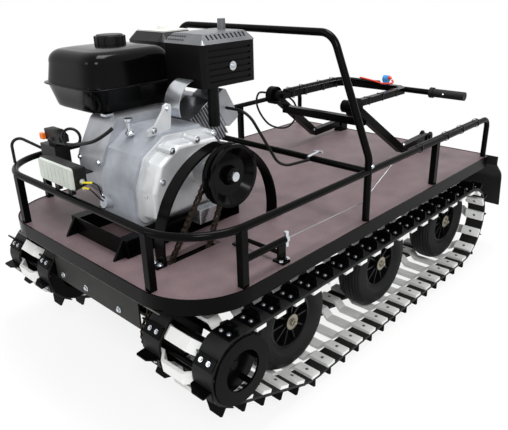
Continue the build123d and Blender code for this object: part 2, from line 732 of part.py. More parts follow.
with BuildPart() as recoil_starter:
    with BuildSketch(Plane.XZ.offset(-FAN_BACK_Y)):
        with Locations((CRANK_X, CRANK_Z)):
            Circle(RECOIL_R)
    extrude(amount=RECOIL_DEPTH, taper=12)
save(recoil_starter, "recoil_starter", "#1E1E1E")

with BuildPart() as cylinder:
    with BuildSketch(bore):
        with Locations(((CASE_TOP + HEAD_TOP) / 2, 0)):
            Rectangle(HEAD_TOP - CASE_TOP, CYLINDER - 2 * FIN_DEPTH)
    extrude(amount=(CYLINDER - 2 * FIN_DEPTH) / 2, both=True)
    for fin in range(FINS):
        with BuildSketch(bore):
            with Locations((CASE_TOP + FIN_PITCH * (fin + 0.7), 0)):
                Rectangle(FIN, CYLINDER)
        extrude(amount=FIN_SPAN / 2, both=True)
    with BuildSketch(bore):
        with Locations((HEAD_TOP - HEAD / 2, 0)):
            RectangleRounded(HEAD, CYLINDER - FIN_DEPTH, 12)
    extrude(amount=FIN_SPAN / 2 - 6, both=True)
    with BuildSketch(Plane.XY.offset(GUARD_Z[0])):
        with Locations((PORT_X, bore.origin.Y)):
            Circle(PORT_R)
    extrude(amount=-PORT_DROP)
save(cylinder, "cylinder", "#9C9D9B")

with BuildPart() as carburetor:
    head_y = bore.origin.Y - FIN_SPAN / 2 + 6
    with BuildSketch(Plane.XZ.offset(-head_y + FIT)):
        with Locations((CARB_X, CARB_Z)):
            RectangleRounded(CARB, CARB, 10)
    extrude(amount=head_y - FIT - CARB_Y)
    with BuildSketch(Plane.XY.offset(AIR_Z[0])):
        with Locations((CARB_X, CARB_Y + NECK_R)):
            Circle(NECK_R)
    extrude(amount=CARB_Z - AIR_Z[0])
save(carburetor, "carburetor", "#A6A7A5")

with BuildPart() as cylinder_shroud:
    with BuildSketch(bore):
        with Locations((CASE_TOP + FIN_PITCH * SHROUD_FINS / 2 + 4, CYLINDER / 2 + FIT + SHROUD / 2)):
            Rectangle(FIN_PITCH * SHROUD_FINS, SHROUD)
    extrude(amount=FIN_SPAN / 2, both=True)
save(cylinder_shroud, "cylinder_shroud", "#D6DADC")

tank_mid = (sum(TANK_X) / 2, sum(TANK_Y) / 2)
tank_size = (TANK_X[1] - TANK_X[0] - 2 * TANK_FLANGE, TANK_Y[1] - TANK_Y[0] - 2 * TANK_FLANGE)
with BuildPart() as fuel_tank:
    with BuildSketch(Plane.XY.offset(TANK_FLANGE_Z)):
        with Locations(tank_mid):
            RectangleRounded(*tank_size, TANK_CORNER_R)
    extrude(amount=TANK_TOP - TANK_FLANGE_Z, taper=9)
    fillet(fuel_tank.edges().group_by(Axis.Z)[-1], TANK_CROWN_R)
    with BuildSketch(Plane.XY.offset(TANK_FLANGE_Z)):
        with Locations(tank_mid):
            RectangleRounded(*tank_size, TANK_CORNER_R)
    extrude(amount=-(TANK_FLANGE_Z - TANK_BOTTOM), taper=14)
    with BuildSketch(Plane.XY.offset(TANK_FLANGE_Z - TANK_SEAM / 2)):
        with Locations(tank_mid):
            RectangleRounded(tank_size[0] + 2 * TANK_FLANGE, tank_size[1] + 2 * TANK_FLANGE, TANK_CORNER_R + TANK_FLANGE)
    extrude(amount=TANK_SEAM)
save(fuel_tank, "fuel_tank", "#121212")

with BuildPart() as tank_cap:
    with BuildSketch(Plane.XY.offset(TANK_TOP)):
        with Locations((CAP_X, CAP_Y)):
            Circle(CAP_R - 2)
            with PolarLocations(CAP_R - 6, CAP_RIBS):
                Rectangle(12, 12)
    extrude(amount=CAP_HEIGHT - 4)
    with BuildSketch(Plane.XY.offset(TANK_TOP + CAP_HEIGHT - 4)):
        with Locations((CAP_X, CAP_Y)):
            Circle(CAP_R - 6)
    extrude(amount=4, taper=30)
save(tank_cap, "tank_cap", "#151515")

with BuildPart() as tank_feet:
    for x, y in TANK_FEET:
        with Locations((x, y, (FAN_TOP_Z + TANK_BOTTOM) / 2)):
            Box(TANK_FOOT, TANK_FOOT, TANK_BOTTOM - FAN_TOP_Z)
save(tank_feet, "tank_feet", "#B4B6B6")

with BuildPart() as air_cleaner:
    air_mid = (sum(AIR_X) / 2, sum(AIR_Y) / 2)
    with BuildSketch(Plane.XY.offset(AIR_Z[0])):
        with Locations(air_mid):
            RectangleRounded(AIR_X[1] - AIR_X[0], AIR_Y[1] - AIR_Y[0], AIR_CORNER_R)
    extrude(amount=AIR_Z[1] - AIR_Z[0])
    extrude(air_cleaner.faces().sort_by(Axis.Z)[-1], amount=AIR_LID, taper=45)
save(air_cleaner, "air_cleaner", "#232323")

with BuildPart() as air_cleaner_plate:
    with BuildSketch(Plane.XY.offset(AIR_Z[1] + AIR_LID)):
        with Locations(air_mid):
            RectangleRounded(AIR_X[1] - AIR_X[0] - 2 * AIR_LID, AIR_Y[1] - AIR_Y[0] - 2 * AIR_LID, 8)
    extrude(amount=AIR_PLATE)
    with BuildSketch(Plane.XY.offset(AIR_Z[1] + AIR_LID + AIR_PLATE)):
        with Locations(air_mid):
            Circle(WING_R)
            Rectangle(4 * WING_R, WING_R / 2)
    extrude(amount=WING_R)
save(air_cleaner_plate, "air_cleaner_plate", "#C9CCCC")

guard_mid = (sum(GUARD_X) / 2, sum(GUARD_Y) / 2)
GUARD_SHOULDER = GUARD_Z[1] - GUARD_CHAMFER
with BuildPart() as muffler_guard:
    with BuildSketch(Plane.XY.offset(GUARD_Z[0])):
        with Locations(guard_mid):
            RectangleRounded(GUARD_X[1] - GUARD_X[0], GUARD_Y[1] - GUARD_Y[0], 12)
    extrude(amount=GUARD_SHOULDER - GUARD_Z[0])
    louvre_pitch = (GUARD_SHOULDER - GUARD_Z[0]) / (LOUVRES + 1)
    for row in range(LOUVRES):
        with Locations((guard_mid[0], GUARD_Y[1], GUARD_Z[0] + louvre_pitch * (row + 1))):
            Box(GUARD_X[1] - GUARD_X[0] - 44, 2 * LOUVRE_DEPTH, louvre_pitch / 3, mode=Mode.SUBTRACT)
save(muffler_guard, "muffler_guard", "#1C1C1C")

with BuildPart() as guard_top:
    with BuildSketch(Plane.XY.offset(GUARD_SHOULDER)):
        with Locations(guard_mid):
            RectangleRounded(GUARD_X[1] - GUARD_X[0] + GUARD_LIP, GUARD_Y[1] - GUARD_Y[0] + GUARD_LIP, 14)
    extrude(amount=GUARD_CHAMFER, taper=45)
    slot_pitch = (GUARD_X[1] - GUARD_X[0] - 2 * GUARD_CHAMFER) / GUARD_SLOTS
    with Locations(*[(GUARD_X[0] + GUARD_CHAMFER + slot_pitch * (n + 0.5), GUARD_Y[1] - GUARD_CHAMFER / 2,
                      GUARD_SHOULDER + GUARD_CHAMFER / 2 + 4) for n in range(GUARD_SLOTS)]):
        Box(GUARD_SLOT, 2 * GUARD_CHAMFER / 3, GUARD_CHAMFER / 2, rotation=(-45, 0, 0), mode=Mode.SUBTRACT)
    with BuildSketch(Plane.XY.offset(GUARD_Z[1])):
        with Locations((GUARD_X[0] + 40, GUARD_Y[0] + 70)):
            Circle(STUB_R)
    extrude(amount=STUB_HEIGHT)
save(guard_top, "guard_top", "#8A8D90")

with BuildPart() as exhaust_pipe:
    with BuildSketch(Plane.XY.offset(GUARD_Z[0])):
        with Locations((PIPE_X, PIPE_Y)):
            Circle(PIPE_R)
    extrude(amount=-PIPE_DROP)
save(exhaust_pipe, "exhaust_pipe", "#181818")

with BuildPart() as drive_pulley:
    half = PULLEY_WIDTH / 2
    with BuildSketch(Plane(origin=(CRANK_X, PULLEY_Y, CRANK_Z), x_dir=(0, 1, 0), z_dir=(1, 0, 0))):
        with BuildLine():
            Polyline(
                (-half, CRANK_R + FIT / 3), (-half, PULLEY_R), (-half + PULLEY_FLANGE, PULLEY_R), (0, PULLEY_GROOVE_R),
                (half - PULLEY_FLANGE, PULLEY_R), (half, PULLEY_R), (half, PULLEY_R - 10),
                (half - PULLEY_DISH, PULLEY_GROOVE_R - 14), (half - PULLEY_DISH, PULLEY_HUB_R + 6),
                (half - 4, PULLEY_HUB_R), (half, CRANK_R + FIT / 3), close=True)
        make_face()
    revolve(axis=Axis((CRANK_X, PULLEY_Y, CRANK_Z), (0, 1, 0)))
save(drive_pulley, "drive_pulley", "#141414")

with BuildPart() as chain_guard_arch:
    with BuildSketch(Plane.XZ.offset(-ARCH_Y)):
        with BuildLine():
            top = (ARCH_TOP_X, ARCH_TOP_Z)
            for foot_x in (ARCH_REAR_X, ARCH_FRONT_X):
                shoulder = (foot_x + 0.24 * (ARCH_TOP_X - foot_x), PLY_TOP + 0.68 * (ARCH_TOP_Z - PLY_TOP))
                ThreePointArc((foot_x, PLY_TOP), shoulder, top)
        trace(line_width=ARCH_WALL)
    extrude(amount=ARCH_WIDTH / 2, both=True)
    split(bisect_by=Plane.XY.offset(PLY_TOP), keep=Keep.TOP)
    for foot_x in (ARCH_REAR_X - ARCH_FOOT / 2, ARCH_FRONT_X + ARCH_FOOT / 2):
        with Locations((foot_x, ARCH_Y, PLY_TOP + ARCH_WALL / 2)):
            Box(ARCH_FOOT, ARCH_WIDTH, ARCH_WALL)
save(chain_guard_arch, "chain_guard_arch", "#262626")

lamp_mid = (sum(LAMP_Y) / 2, sum(LAMP_Z) / 2)
with BuildPart() as headlight:
    with BuildSketch(Plane.YZ.offset(LAMP_X[1])):
        with Locations(lamp_mid):
            RectangleRounded(LAMP_Y[1] - LAMP_Y[0], LAMP_Z[1] - LAMP_Z[0], 10)
    extrude(amount=LAMP_X[0] - LAMP_X[1], taper=12)
    for ear_y in (lamp_mid[0] - 34, lamp_mid[0] + 34):
        with Locations((RAIL_FRONT_X - 8, ear_y, (RAIL_Z + RAIL_R + LAMP_Z[0]) / 2)):
            Box(12, 20, LAMP_Z[0] - RAIL_Z - RAIL_R - FIT)
        with Locations((RAIL_FRONT_X - 8, ear_y, LAMP_Z[0] + 6)):
            Box(12, 20, 13)
save(headlight, "headlight", "#1B1B1B")

with BuildPart() as headlight_lens:
    with BuildSketch(Plane.YZ.offset(LAMP_X[1])):
        with Locations(lamp_mid):
            RectangleRounded(LAMP_Y[1] - LAMP_Y[0] - 6, LAMP_Z[1] - LAMP_Z[0] - 6, 8)
    extrude(amount=LENS, taper=20)
    rib_pitch = (LAMP_Y[1] - LAMP_Y[0] - 30) / LENS_RIBS
    with Locations(*[(LAMP_X[1] + LENS, LAMP_Y[0] + 15 + rib_pitch * (n + 0.5), lamp_mid[1]) for n in range(LENS_RIBS)]):
        Box(2, rib_pitch / 3, LAMP_Z[1] - LAMP_Z[0] - 20)
save(headlight_lens, "headlight_lens", "#DDE4DC")


def pin(x, y0, y1, z):
    """A round pin along Y from y0 to y1."""
    with Locations((x, (y0 + y1) / 2, z)):
        Cylinder(PIN_R, abs(y1 - y0), rotation=(90, 0, 0))


with BuildPart() as handle_brackets:
    for side in (-1, 1):
        for face in (-1, 1):
            cheek_y = side * ARM_Y + face * (ARM / 2 + CHEEK_GAP + CHEEK / 2)
            with BuildSketch(Plane.XZ.offset(-cheek_y)):
                with Locations((HINGE_X, (PLY_TOP + HINGE_Z) / 2)):
                    Rectangle(CHEEK_WIDTH, HINGE_Z - PLY_TOP)
                with Locations((HINGE_X, HINGE_Z)):
                    Circle(CHEEK_WIDTH / 2)
            extrude(amount=CHEEK / 2, both=True)
        reach = ARM / 2 + CHEEK_GAP + CHEEK
        pin(HINGE_X, side * ARM_Y - reach - 5, side * ARM_Y + reach + 5, HINGE_Z)
        with Locations((HINGE_X, side * ARM_Y, PLY_TOP + 2)):
            Box(CHEEK_WIDTH + 12, 2 * reach, 4)
save(handle_brackets, "handle_brackets")

with BuildPart() as handle_stem:
    for side in (-1, 1):
        arm_plane = Plane(origin=(0, side * ARM_Y, 0), x_dir=(1, 0, 0), z_dir=(0, -1, 0))
        with BuildSketch(arm_plane):
            with Locations((HINGE_X, HINGE_Z)):
                Circle(ARM / 2)
            with BuildLine():
                Line((HINGE_X, HINGE_Z), (KNEE_X, KNEE_Z))
            trace(line_width=ARM)
            with Locations((KNEE_X, KNEE_Z)):
                Circle(ARM / 2)
        extrude(amount=ARM / 2, both=True)
        knee = Vector(KNEE_X, side * ARM_Y, KNEE_Z)
        pivot = Vector(PIVOT_X, side * PIVOT_Y, PIVOT_Z)
        upper = pivot - knee
        across = Vector(0, 0, 1).cross(upper)
        with BuildSketch(Plane(origin=knee, x_dir=across, z_dir=upper)):
            Rectangle(ARM, ARM)
        extrude(amount=upper.length)
        with BuildSketch(Plane.XZ.offset(-side * (PIVOT_Y - ARM / 2))):
            with Locations((PIVOT_X, PIVOT_Z)):
                Circle(PIVOT_R)
        extrude(amount=-side * ARM)
        inner = side * (FORK_Y - FORK / 2 - 10)
        pin(PIVOT_X, min(inner, side * PIVOT_Y), max(inner, side * PIVOT_Y), PIVOT_Z)
    with Locations((STEM_BAR_X, 0, STEM_BAR_Z)):
        Box(ARM, 2 * PIVOT_Y, ARM)
    for side in (-1, 1):
        with BuildSketch(Plane.XZ.offset(-side * ARM_Y)):
            with Locations((HINGE_X, HINGE_Z)):
                Circle(PIN_R + FIT)
        extrude(amount=ARM, both=True, mode=Mode.SUBTRACT)
save(handle_stem, "handle_stem")

with BuildPart() as handlebar:
    for side in (-1, 1):
        with BuildSketch(Plane.XZ.offset(-side * FORK_Y)):
            with Locations((PIVOT_X, PIVOT_Z)):
                Circle(PIN_R + 14)
            with BuildLine():
                Line((PIVOT_X, PIVOT_Z), (BAR_X + CORNER, BAR_Z))
            trace(line_width=FORK)
            with Locations((PIVOT_X, PIVOT_Z)):
                Circle(PIN_R + FIT, mode=Mode.SUBTRACT)
        extrude(amount=FORK / 2, both=True)
    with BuildSketch(Plane.XY.offset(BAR_Z - FORK / 2)):
        with BuildLine():
            Polyline((BAR_X + CORNER + FORK, -FORK_Y), (BAR_X + CORNER, -FORK_Y), (BAR_X, -FORK_Y + CORNER),
                     (BAR_X, FORK_Y - CORNER), (BAR_X + CORNER, FORK_Y), (BAR_X + CORNER + FORK, FORK_Y))
        trace(line_width=FORK)
    extrude(amount=FORK)
    with BuildSketch(Plane.XZ.offset(-FORK_Y + CORNER)):
        with Locations((BAR_X, BAR_Z)):
            Circle(BAR_R)
    extrude(amount=-(GRIP_END_Y - FORK_Y + CORNER - 5))
save(handlebar, "handlebar")

with BuildPart() as handlebar_grips:
    with BuildSketch(Plane.XZ.offset(GRIP_LENGTH - GRIP_END_Y)):
        with Locations((BAR_X, BAR_Z)):
            Circle(GRIP_R)
            Circle(BAR_R, mode=Mode.SUBTRACT)
    extrude(amount=-GRIP_LENGTH)
    with BuildSketch(Plane.XZ.offset(-GRIP_END_Y + 5)):
        with Locations((BAR_X, BAR_Z)):
            Circle(GRIP_R)
    extrude(amount=-5)
    with BuildSketch(Plane.XZ.offset(GRIP_LENGTH + GRIP_COLLAR - GRIP_END_Y)):
        with Locations((BAR_X, BAR_Z)):
            Circle(GRIP_R + 4)
            Circle(BAR_R, mode=Mode.SUBTRACT)
    extrude(amount=-GRIP_COLLAR)
save(handlebar_grips, "handlebar_grips", "#151515")

with BuildPart() as stop_switch:
    switch_z = BAR_Z + FORK / 2
    with BuildSketch(Plane.XY.offset(switch_z)):
        with Locations((BAR_X + SWITCH_IN, SWITCH_Y)):
            RectangleRounded(SWITCH_R, SWITCH, 8)
    extrude(amount=SWITCH)
    with BuildSketch(Plane.XZ.offset(-SWITCH_Y)):
        with Locations((BAR_X + SWITCH_IN, switch_z + SWITCH)):
            Circle(SWITCH_R / 2)
    extrude(amount=SWITCH / 2, both=True)
save(stop_switch, "stop_switch", "#1E1E20")

with BuildPart() as clutch_lever:
    lever_z = PLY_TOP + LEVER_TUBE_RISE
    with Locations((LEVER_X, LEVER_Y, (PLY_TOP + lever_z) / 2)):
        Box(LEVER_PLATE_WIDTH, LEVER_PLATE, lever_z - PLY_TOP)
    with Locations((LEVER_X, LEVER_Y, PLY_TOP + LEVER_PLATE / 2)):
        Box(LEVER_PLATE_WIDTH, 6 * LEVER_PLATE, LEVER_PLATE)
    with BuildSketch(Plane.YZ.offset(LEVER_X - LEVER_PLATE_WIDTH / 2)):
        with Locations((LEVER_Y, lever_z)):
            Circle(LEVER_TUBE_R)
    extrude(amount=LEVER_TUBE_FRONT - LEVER_X + LEVER_PLATE_WIDTH / 2)
    with BuildSketch(Plane.XZ.offset(-LEVER_Y)):
        with Locations((LEVER_X, PLY_TOP + LINK_RISE)):
            Circle(LINK_R)
    extrude(amount=LEVER_Y - LINK_Y)
    with Locations((LEVER_X, LINK_Y, PLY_TOP + LEVER_TUBE_RISE / 2)):
        Box(LEVER_PLATE_WIDTH, LEVER_PLATE, LEVER_TUBE_RISE)
    with Locations((LEVER_X, LINK_Y, PLY_TOP + LEVER_PLATE / 2)):
        Box(LEVER_PLATE_WIDTH, 6 * LEVER_PLATE, LEVER_PLATE)
save(clutch_lever, "clutch_lever", "#1B1B1B")

with BuildPart() as lever_clamp:
    clamp_x = LEVER_X - LEVER_PLATE_WIDTH / 2 - CLAMP_R - FIT
    with Locations((clamp_x, LEVER_Y, lever_z)):
        Cylinder(CLAMP_R, CLAMP_LENGTH)
        Box(2 * CLAMP_R, 2 * CLAMP_R, 2 * CLAMP_R)
save(lever_clamp, "lever_clamp", "#D4D4D0")

with BuildPart() as lever_wire:
    wire_y = RAIL_Y - HOOP_R - WIRE_R - FIT
    add(tube([(clamp_x - CLAMP_R - FIT, LEVER_Y, lever_z), (HOOP_X, wire_y, lever_z - 4), (WIRE_END_X, wire_y, RAIL_Z)],
             30, WIRE_R))
save(lever_wire, "lever_wire", "#8C8C88")

with BuildPart() as switch_box:
    box_z = DECK_TOP + BOX_RISE
    with Locations(((FAN_X[1] + BOX_X[1]) / 2, (BOX_Y[0] + BOX_ARM_Y) / 2, box_z - BOX_PLATE / 2)):
        Box(BOX_X[1] - FAN_X[1], BOX_ARM_Y - BOX_Y[0], BOX_PLATE)
    with Locations((sum(BOX_X) / 2, sum(BOX_Y) / 2, box_z + BOX_HEIGHT / 2)):
        Box(BOX_X[1] - BOX_X[0], BOX_Y[1] - BOX_Y[0], BOX_HEIGHT)
    with Locations((sum(BOX_X) / 2, sum(BOX_Y) / 2 + 10, box_z + BOX_HEIGHT + 6)):
        Box((BOX_X[1] - BOX_X[0]) / 2, (BOX_Y[1] - BOX_Y[0]) / 2, 12)
save(switch_box, "switch_box", "#151515")

with BuildPart() as cables:
    lamp_x = sum(BOX_X) / 2
    add(tube([(lamp_x, BOX_Y[0], box_z + BOX_HEIGHT / 2), (lamp_x, BOX_Y[0] - 40, box_z + BOX_HEIGHT / 2),
              (CABLE_END_X, CABLE_END_Y, box_z + BOX_HEIGHT + 25), (CABLE_END_X, CABLE_END_Y, RAIL_Z + RAIL_R)],
             (14, 24), CABLE_R))
    head_x, head_z = bore_point(HEAD_TOP - HEAD / 2, 0)
    fin_y = CYLINDER_Y + FIN_SPAN / 2
    add(tube([(head_x, fin_y - 6, head_z), (head_x, fin_y + 84, head_z), (HOOP_X + 60, fin_y + 130, RAIL_Z - 30),
              (HOOP_X + RAIL_R + CABLE_R, CABLE_HOOP_Y, RAIL_Z)], (50, 40), CABLE_R))
save(cables, "cables", "#141414")
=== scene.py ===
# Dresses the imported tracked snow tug: finishes for its solids, and the small forms that the solids leave out.
# The steps give lengths in millimetres, and build() turns them to metres.
import math

import bpy
import numpy as np
from mathutils import Matrix, Vector


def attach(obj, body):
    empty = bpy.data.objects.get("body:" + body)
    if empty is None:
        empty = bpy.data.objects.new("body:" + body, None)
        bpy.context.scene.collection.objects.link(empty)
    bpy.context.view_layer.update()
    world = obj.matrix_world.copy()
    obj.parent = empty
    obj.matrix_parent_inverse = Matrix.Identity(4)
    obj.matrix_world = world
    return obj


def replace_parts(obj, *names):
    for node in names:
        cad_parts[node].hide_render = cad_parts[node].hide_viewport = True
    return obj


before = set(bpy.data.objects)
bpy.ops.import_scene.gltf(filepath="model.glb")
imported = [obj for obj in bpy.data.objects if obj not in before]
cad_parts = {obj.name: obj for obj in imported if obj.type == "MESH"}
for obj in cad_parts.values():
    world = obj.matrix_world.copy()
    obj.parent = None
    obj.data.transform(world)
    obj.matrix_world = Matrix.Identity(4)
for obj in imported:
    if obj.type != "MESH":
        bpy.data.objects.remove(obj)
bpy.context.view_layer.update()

bl_info = {
    "name": "Tracked Snow Tug",
    "version": (1, 0, 0),
    "blender": (4, 5, 0),
    "location": "View3D > Sidebar > Snow Tug",
    "description": "Dresses the tracked snow tug in its real finishes",
    "category": "Object",
}

MM = 0.001
TURN = 2 * math.pi

# one row per finish: sRGB colour, metallic, roughness, specular level, grain in mm, bump depth, colour variation
FINISHES = {
    # phenolic film pressed on plywood: dull brown with a wire-mesh print
    "film-faced plywood": ("#6C5B5E", 0.0, 0.5, 0.35, 3.0, 0.3, 0.05),
    # smooth enamel on tube and sheet: near black with narrow highlights
    "black enamel on steel": ("#060606", 0.0, 0.2, 0.05, 2.0, 0.05, 0.08),
    # a painted highlight: a grey line along a bent edge of black enamel
    "worn black enamel": ("#5A5A57", 0.0, 0.3, 0.4, 2.0, 0.1, 0.1),
    # thin paint on flat plate: charcoal with a wide soft sheen
    "satin black paint": ("#1C1C1A", 0.0, 0.5, 0.2, 2.0, 0.1, 0.1),
    # enamel on pressed sheet: black with clear reflections and no grain
    "gloss tank enamel": ("#040404", 0.0, 0.15, 0.09, 1.0, 0.0, 0.0),
    # baked paint: black with a faint fine grain
    "heat-proof black paint": ("#080808", 0.0, 0.35, 0.1, 0.8, 0.12, 0.06),
    # bare sheet gone dull: mid grey metal
    "grey heat shield": ("#6E7073", 0.75, 0.38, 0.5, 1.0, 0.06, 0.05),
    # grained mouldings: black with a soft sheen
    "moulded black ABS": ("#0E0E0F", 0.0, 0.42, 0.22, 0.8, 0.2, 0.05),
    # smooth mouldings and sleeves: black, a little shinier
    "black nylon": ("#0B0B0C", 0.0, 0.36, 0.22, 1.5, 0.08, 0.05),
    # thick bent bars: white and waxy
    "white polyethylene": ("#E4E5E3", 0.0, 0.36, 0.4, 6.0, 0.08, 0.02),
    # belting, sleeves and flaps: dark grey, matt and faintly patchy
    "conveyor rubber": ("#151516", 0.0, 0.55, 0.2, 2.5, 0.25, 0.1),
    # tyres: dark grey and the most matt
    "tyre rubber": ("#121213", 0.0, 0.6, 0.2, 2.0, 0.2, 0.1),
    # smooth casting: pale and satin
    "die-cast aluminium": ("#CDCFD1", 0.5, 0.34, 0.5, 1.2, 0.3, 0.04),
    # the same cast aluminium with a coarse skin, its colour painted darker blue-grey as painted shade on the
    # crankcase's faces
    "cast aluminium with painted shade": ("#A4A8B0", 0.5, 0.42, 0.5, 1.6, 0.45, 0.06),
    # plain casting: mid grey and dull
    "grey cast aluminium": ("#A4A6AB", 0.6, 0.45, 0.5, 1.0, 0.4, 0.06),
    # bright plating: silver with sharp highlights
    "zinc-plated steel": ("#C9CDD2", 0.95, 0.22, 0.5, 4.0, 0.06, 0.06),
    # screw heads: dark grey metal, darker than the bright plating
    "dull screw steel": ("#6B6C6D", 0.8, 0.4, 0.5, 2.0, 0.1, 0.1),
    # hub washers and nuts: warm grey metal
    "yellow-grey hub steel": ("#8F8A7C", 0.8, 0.38, 0.5, 2.0, 0.1, 0.08),
    # drawn wire: a light grey line
    "galvanised wire": ("#9A9C9E", 0.8, 0.35, 0.5, 4.0, 0.06, 0.06),
    # chain and sprockets: brown-black metal
    "oiled chain steel": ("#3A332C", 0.8, 0.4, 0.4, 3.0, 0.2, 0.12),
    # pressed lens over its bowl: pale grey-green with a sharp sheen
    "clear ribbed lens": ("#B4BAB2", 0.0, 0.12, 0.5, 4.0, 0.0, 0.05),
    # smooth coloured mouldings: bright, with a soft highlight
    "blue plastic": ("#2F86C8", 0.0, 0.35, 0.4, 4.0, 0.02, 0.02),
    "red plastic": ("#D8371F", 0.0, 0.35, 0.4, 4.0, 0.02, 0.02),
    "orange plastic": ("#E8701C", 0.0, 0.35, 0.4, 4.0, 0.02, 0.02),
    "yellow terminal sleeve": ("#D9C81E", 0.0, 0.4, 0.4, 4.0, 0.02, 0.02),
    "white nylon": ("#DADBD6", 0.0, 0.4, 0.4, 4.0, 0.02, 0.02),
}

# the finish that each carried-over solid gets
NODE_FINISH = {
    "deck_board": "film-faced plywood",
    "deck_border": "black enamel on steel",
    "chassis_frame": "black enamel on steel",
    "front_plate": "satin black paint",
    "front_rail": "black enamel on steel",
    "hoop": "black enamel on steel",
    "rear_rail_left": "black enamel on steel",
    "rear_rail_right": "black enamel on steel",
    "engine_subframe": "black enamel on steel",
    "chain_guard_arch": "black enamel on steel",
    "handle_brackets": "black enamel on steel",
    "handle_stem": "black enamel on steel",
    "handlebar": "black enamel on steel",
    "drum_left": "black enamel on steel",
    "drum_right": "black enamel on steel",
    "drive_pulley": "gloss tank enamel",
    "clutch_lever": "black enamel on steel",
    "lever_clamp": "zinc-plated steel",
    "lever_wire": "galvanised wire",
    "air_cleaner_plate": "white nylon",
    "guard_top": "grey heat shield",
    "switch_box": "moulded black ABS",
    "stop_switch": "blue plastic",
    "cables": "conveyor rubber",
    "fuel_tank": "gloss tank enamel",
    "muffler_guard": "heat-proof black paint",
    "exhaust_pipe": "heat-proof black paint",
    "rims_left": "black nylon",
    "rims_right": "black nylon",
    "recoil_starter": "moulded black ABS",
    "tank_cap": "moulded black ABS",
    "air_cleaner": "moulded black ABS",
    "headlight": "moulded black ABS",
    "handlebar_grips": "conveyor rubber",
    "track_crossbars_left": "white polyethylene",
    "track_crossbars_right": "white polyethylene",
    "track_belts_left": "conveyor rubber",
    "track_belts_right": "conveyor rubber",
    "mud_flap_left": "conveyor rubber",
    "mud_flap_right": "conveyor rubber",
    "tyres_left": "tyre rubber",
    "tyres_right": "tyre rubber",
    "crankcase": "cast aluminium with painted shade",
    "side_cover": "die-cast aluminium",
    "fan_cover": "grey cast aluminium",
    "cylinder": "grey cast aluminium",
    "carburetor": "grey cast aluminium",
    "tank_feet": "zinc-plated steel",
    "cylinder_shroud": "zinc-plated steel",
    "wheel_axles": "zinc-plated steel",
    "drive_axle": "black enamel on steel",
    "drive_sprocket": "oiled chain steel",
    "engine_sprocket": "oiled chain steel",
    "drive_chain": "oiled chain steel",
    "crankshaft": "zinc-plated steel",
    "headlight_lens": "clear ribbed lens",
}

# the deck's top, and the middle height of the wheels
DECK = 422
AXLE_Z = 180
# what the belt's line is pulled round, as (x, z, radius): drum, front wheel, rear wheel and the front wheel again
TRACK_CIRCLES = [(702, 235, 87), (404, AXLE_Z, 144), (-540, AXLE_Z, 144), (404, AXLE_Z, 144)]
# the middle of a track, and its two belts from there
TRACK_Y = 375
BELT_Y = (-96, 96)
LUGS = 44
WHEELS_X = (404, -68, -540)
HUB_REACH = 36.4
# drive sprocket and engine sprocket as (x, z, radius)
CHAIN_CIRCLES = [(702, 235, 78), (482, 612, 34)]
CHAIN_Y = 222
CHAIN_LINKS = 78
TANK_MID, TANK_HALF = (500, -225), (154, 147)

# name, place and target in metres, side of the square in metres, watts
LAMPS = (
    ("key", (2.6, 3.2, 3.6), (0, 0, 0.4), 1.3, 115),
    ("fill", (3.8, -1.6, 2.4), (0.2, 0, 0.4), 1.0, 16),
    ("top", (-0.3, 0.2, 4.2), (0, 0, 0.4), 1.6, 122),
)


class TugSizes(bpy.types.PropertyGroup):
    """Sizes and colours that a user of the add-on may change."""
    floor_colour: bpy.props.StringProperty(name="Floor colour", description="sRGB hex of the floor", default="#F6F6F5")
    lens_mm: bpy.props.FloatProperty(name="Lens", description="Focal length of the camera", default=40.15,
                                     unit="CAMERA")


def linear(colour):
    """A #RRGGBB sRGB colour as four linear numbers."""
    parts = [int(colour[i:i + 2], 16) / 255 for i in (1, 3, 5)]
    return tuple(c / 12.92 if c <= 0.04045 else ((c + 0.055) / 1.055) ** 2.4 for c in parts) + (1.0,)


def add(tree, kind, settings=None, **links):
    """Add a node to tree, set its fields and sockets, and link each named input to a given output."""
    node = tree.nodes.new(kind)
    for name, value in (settings or {}).items():
        if name in node.inputs:
            node.inputs[name].default_value = value
        else:
            setattr(node, name, value)
    for name, source in links.items():
        tree.links.new(source, node.inputs[name.replace("_", " ")])
    return node


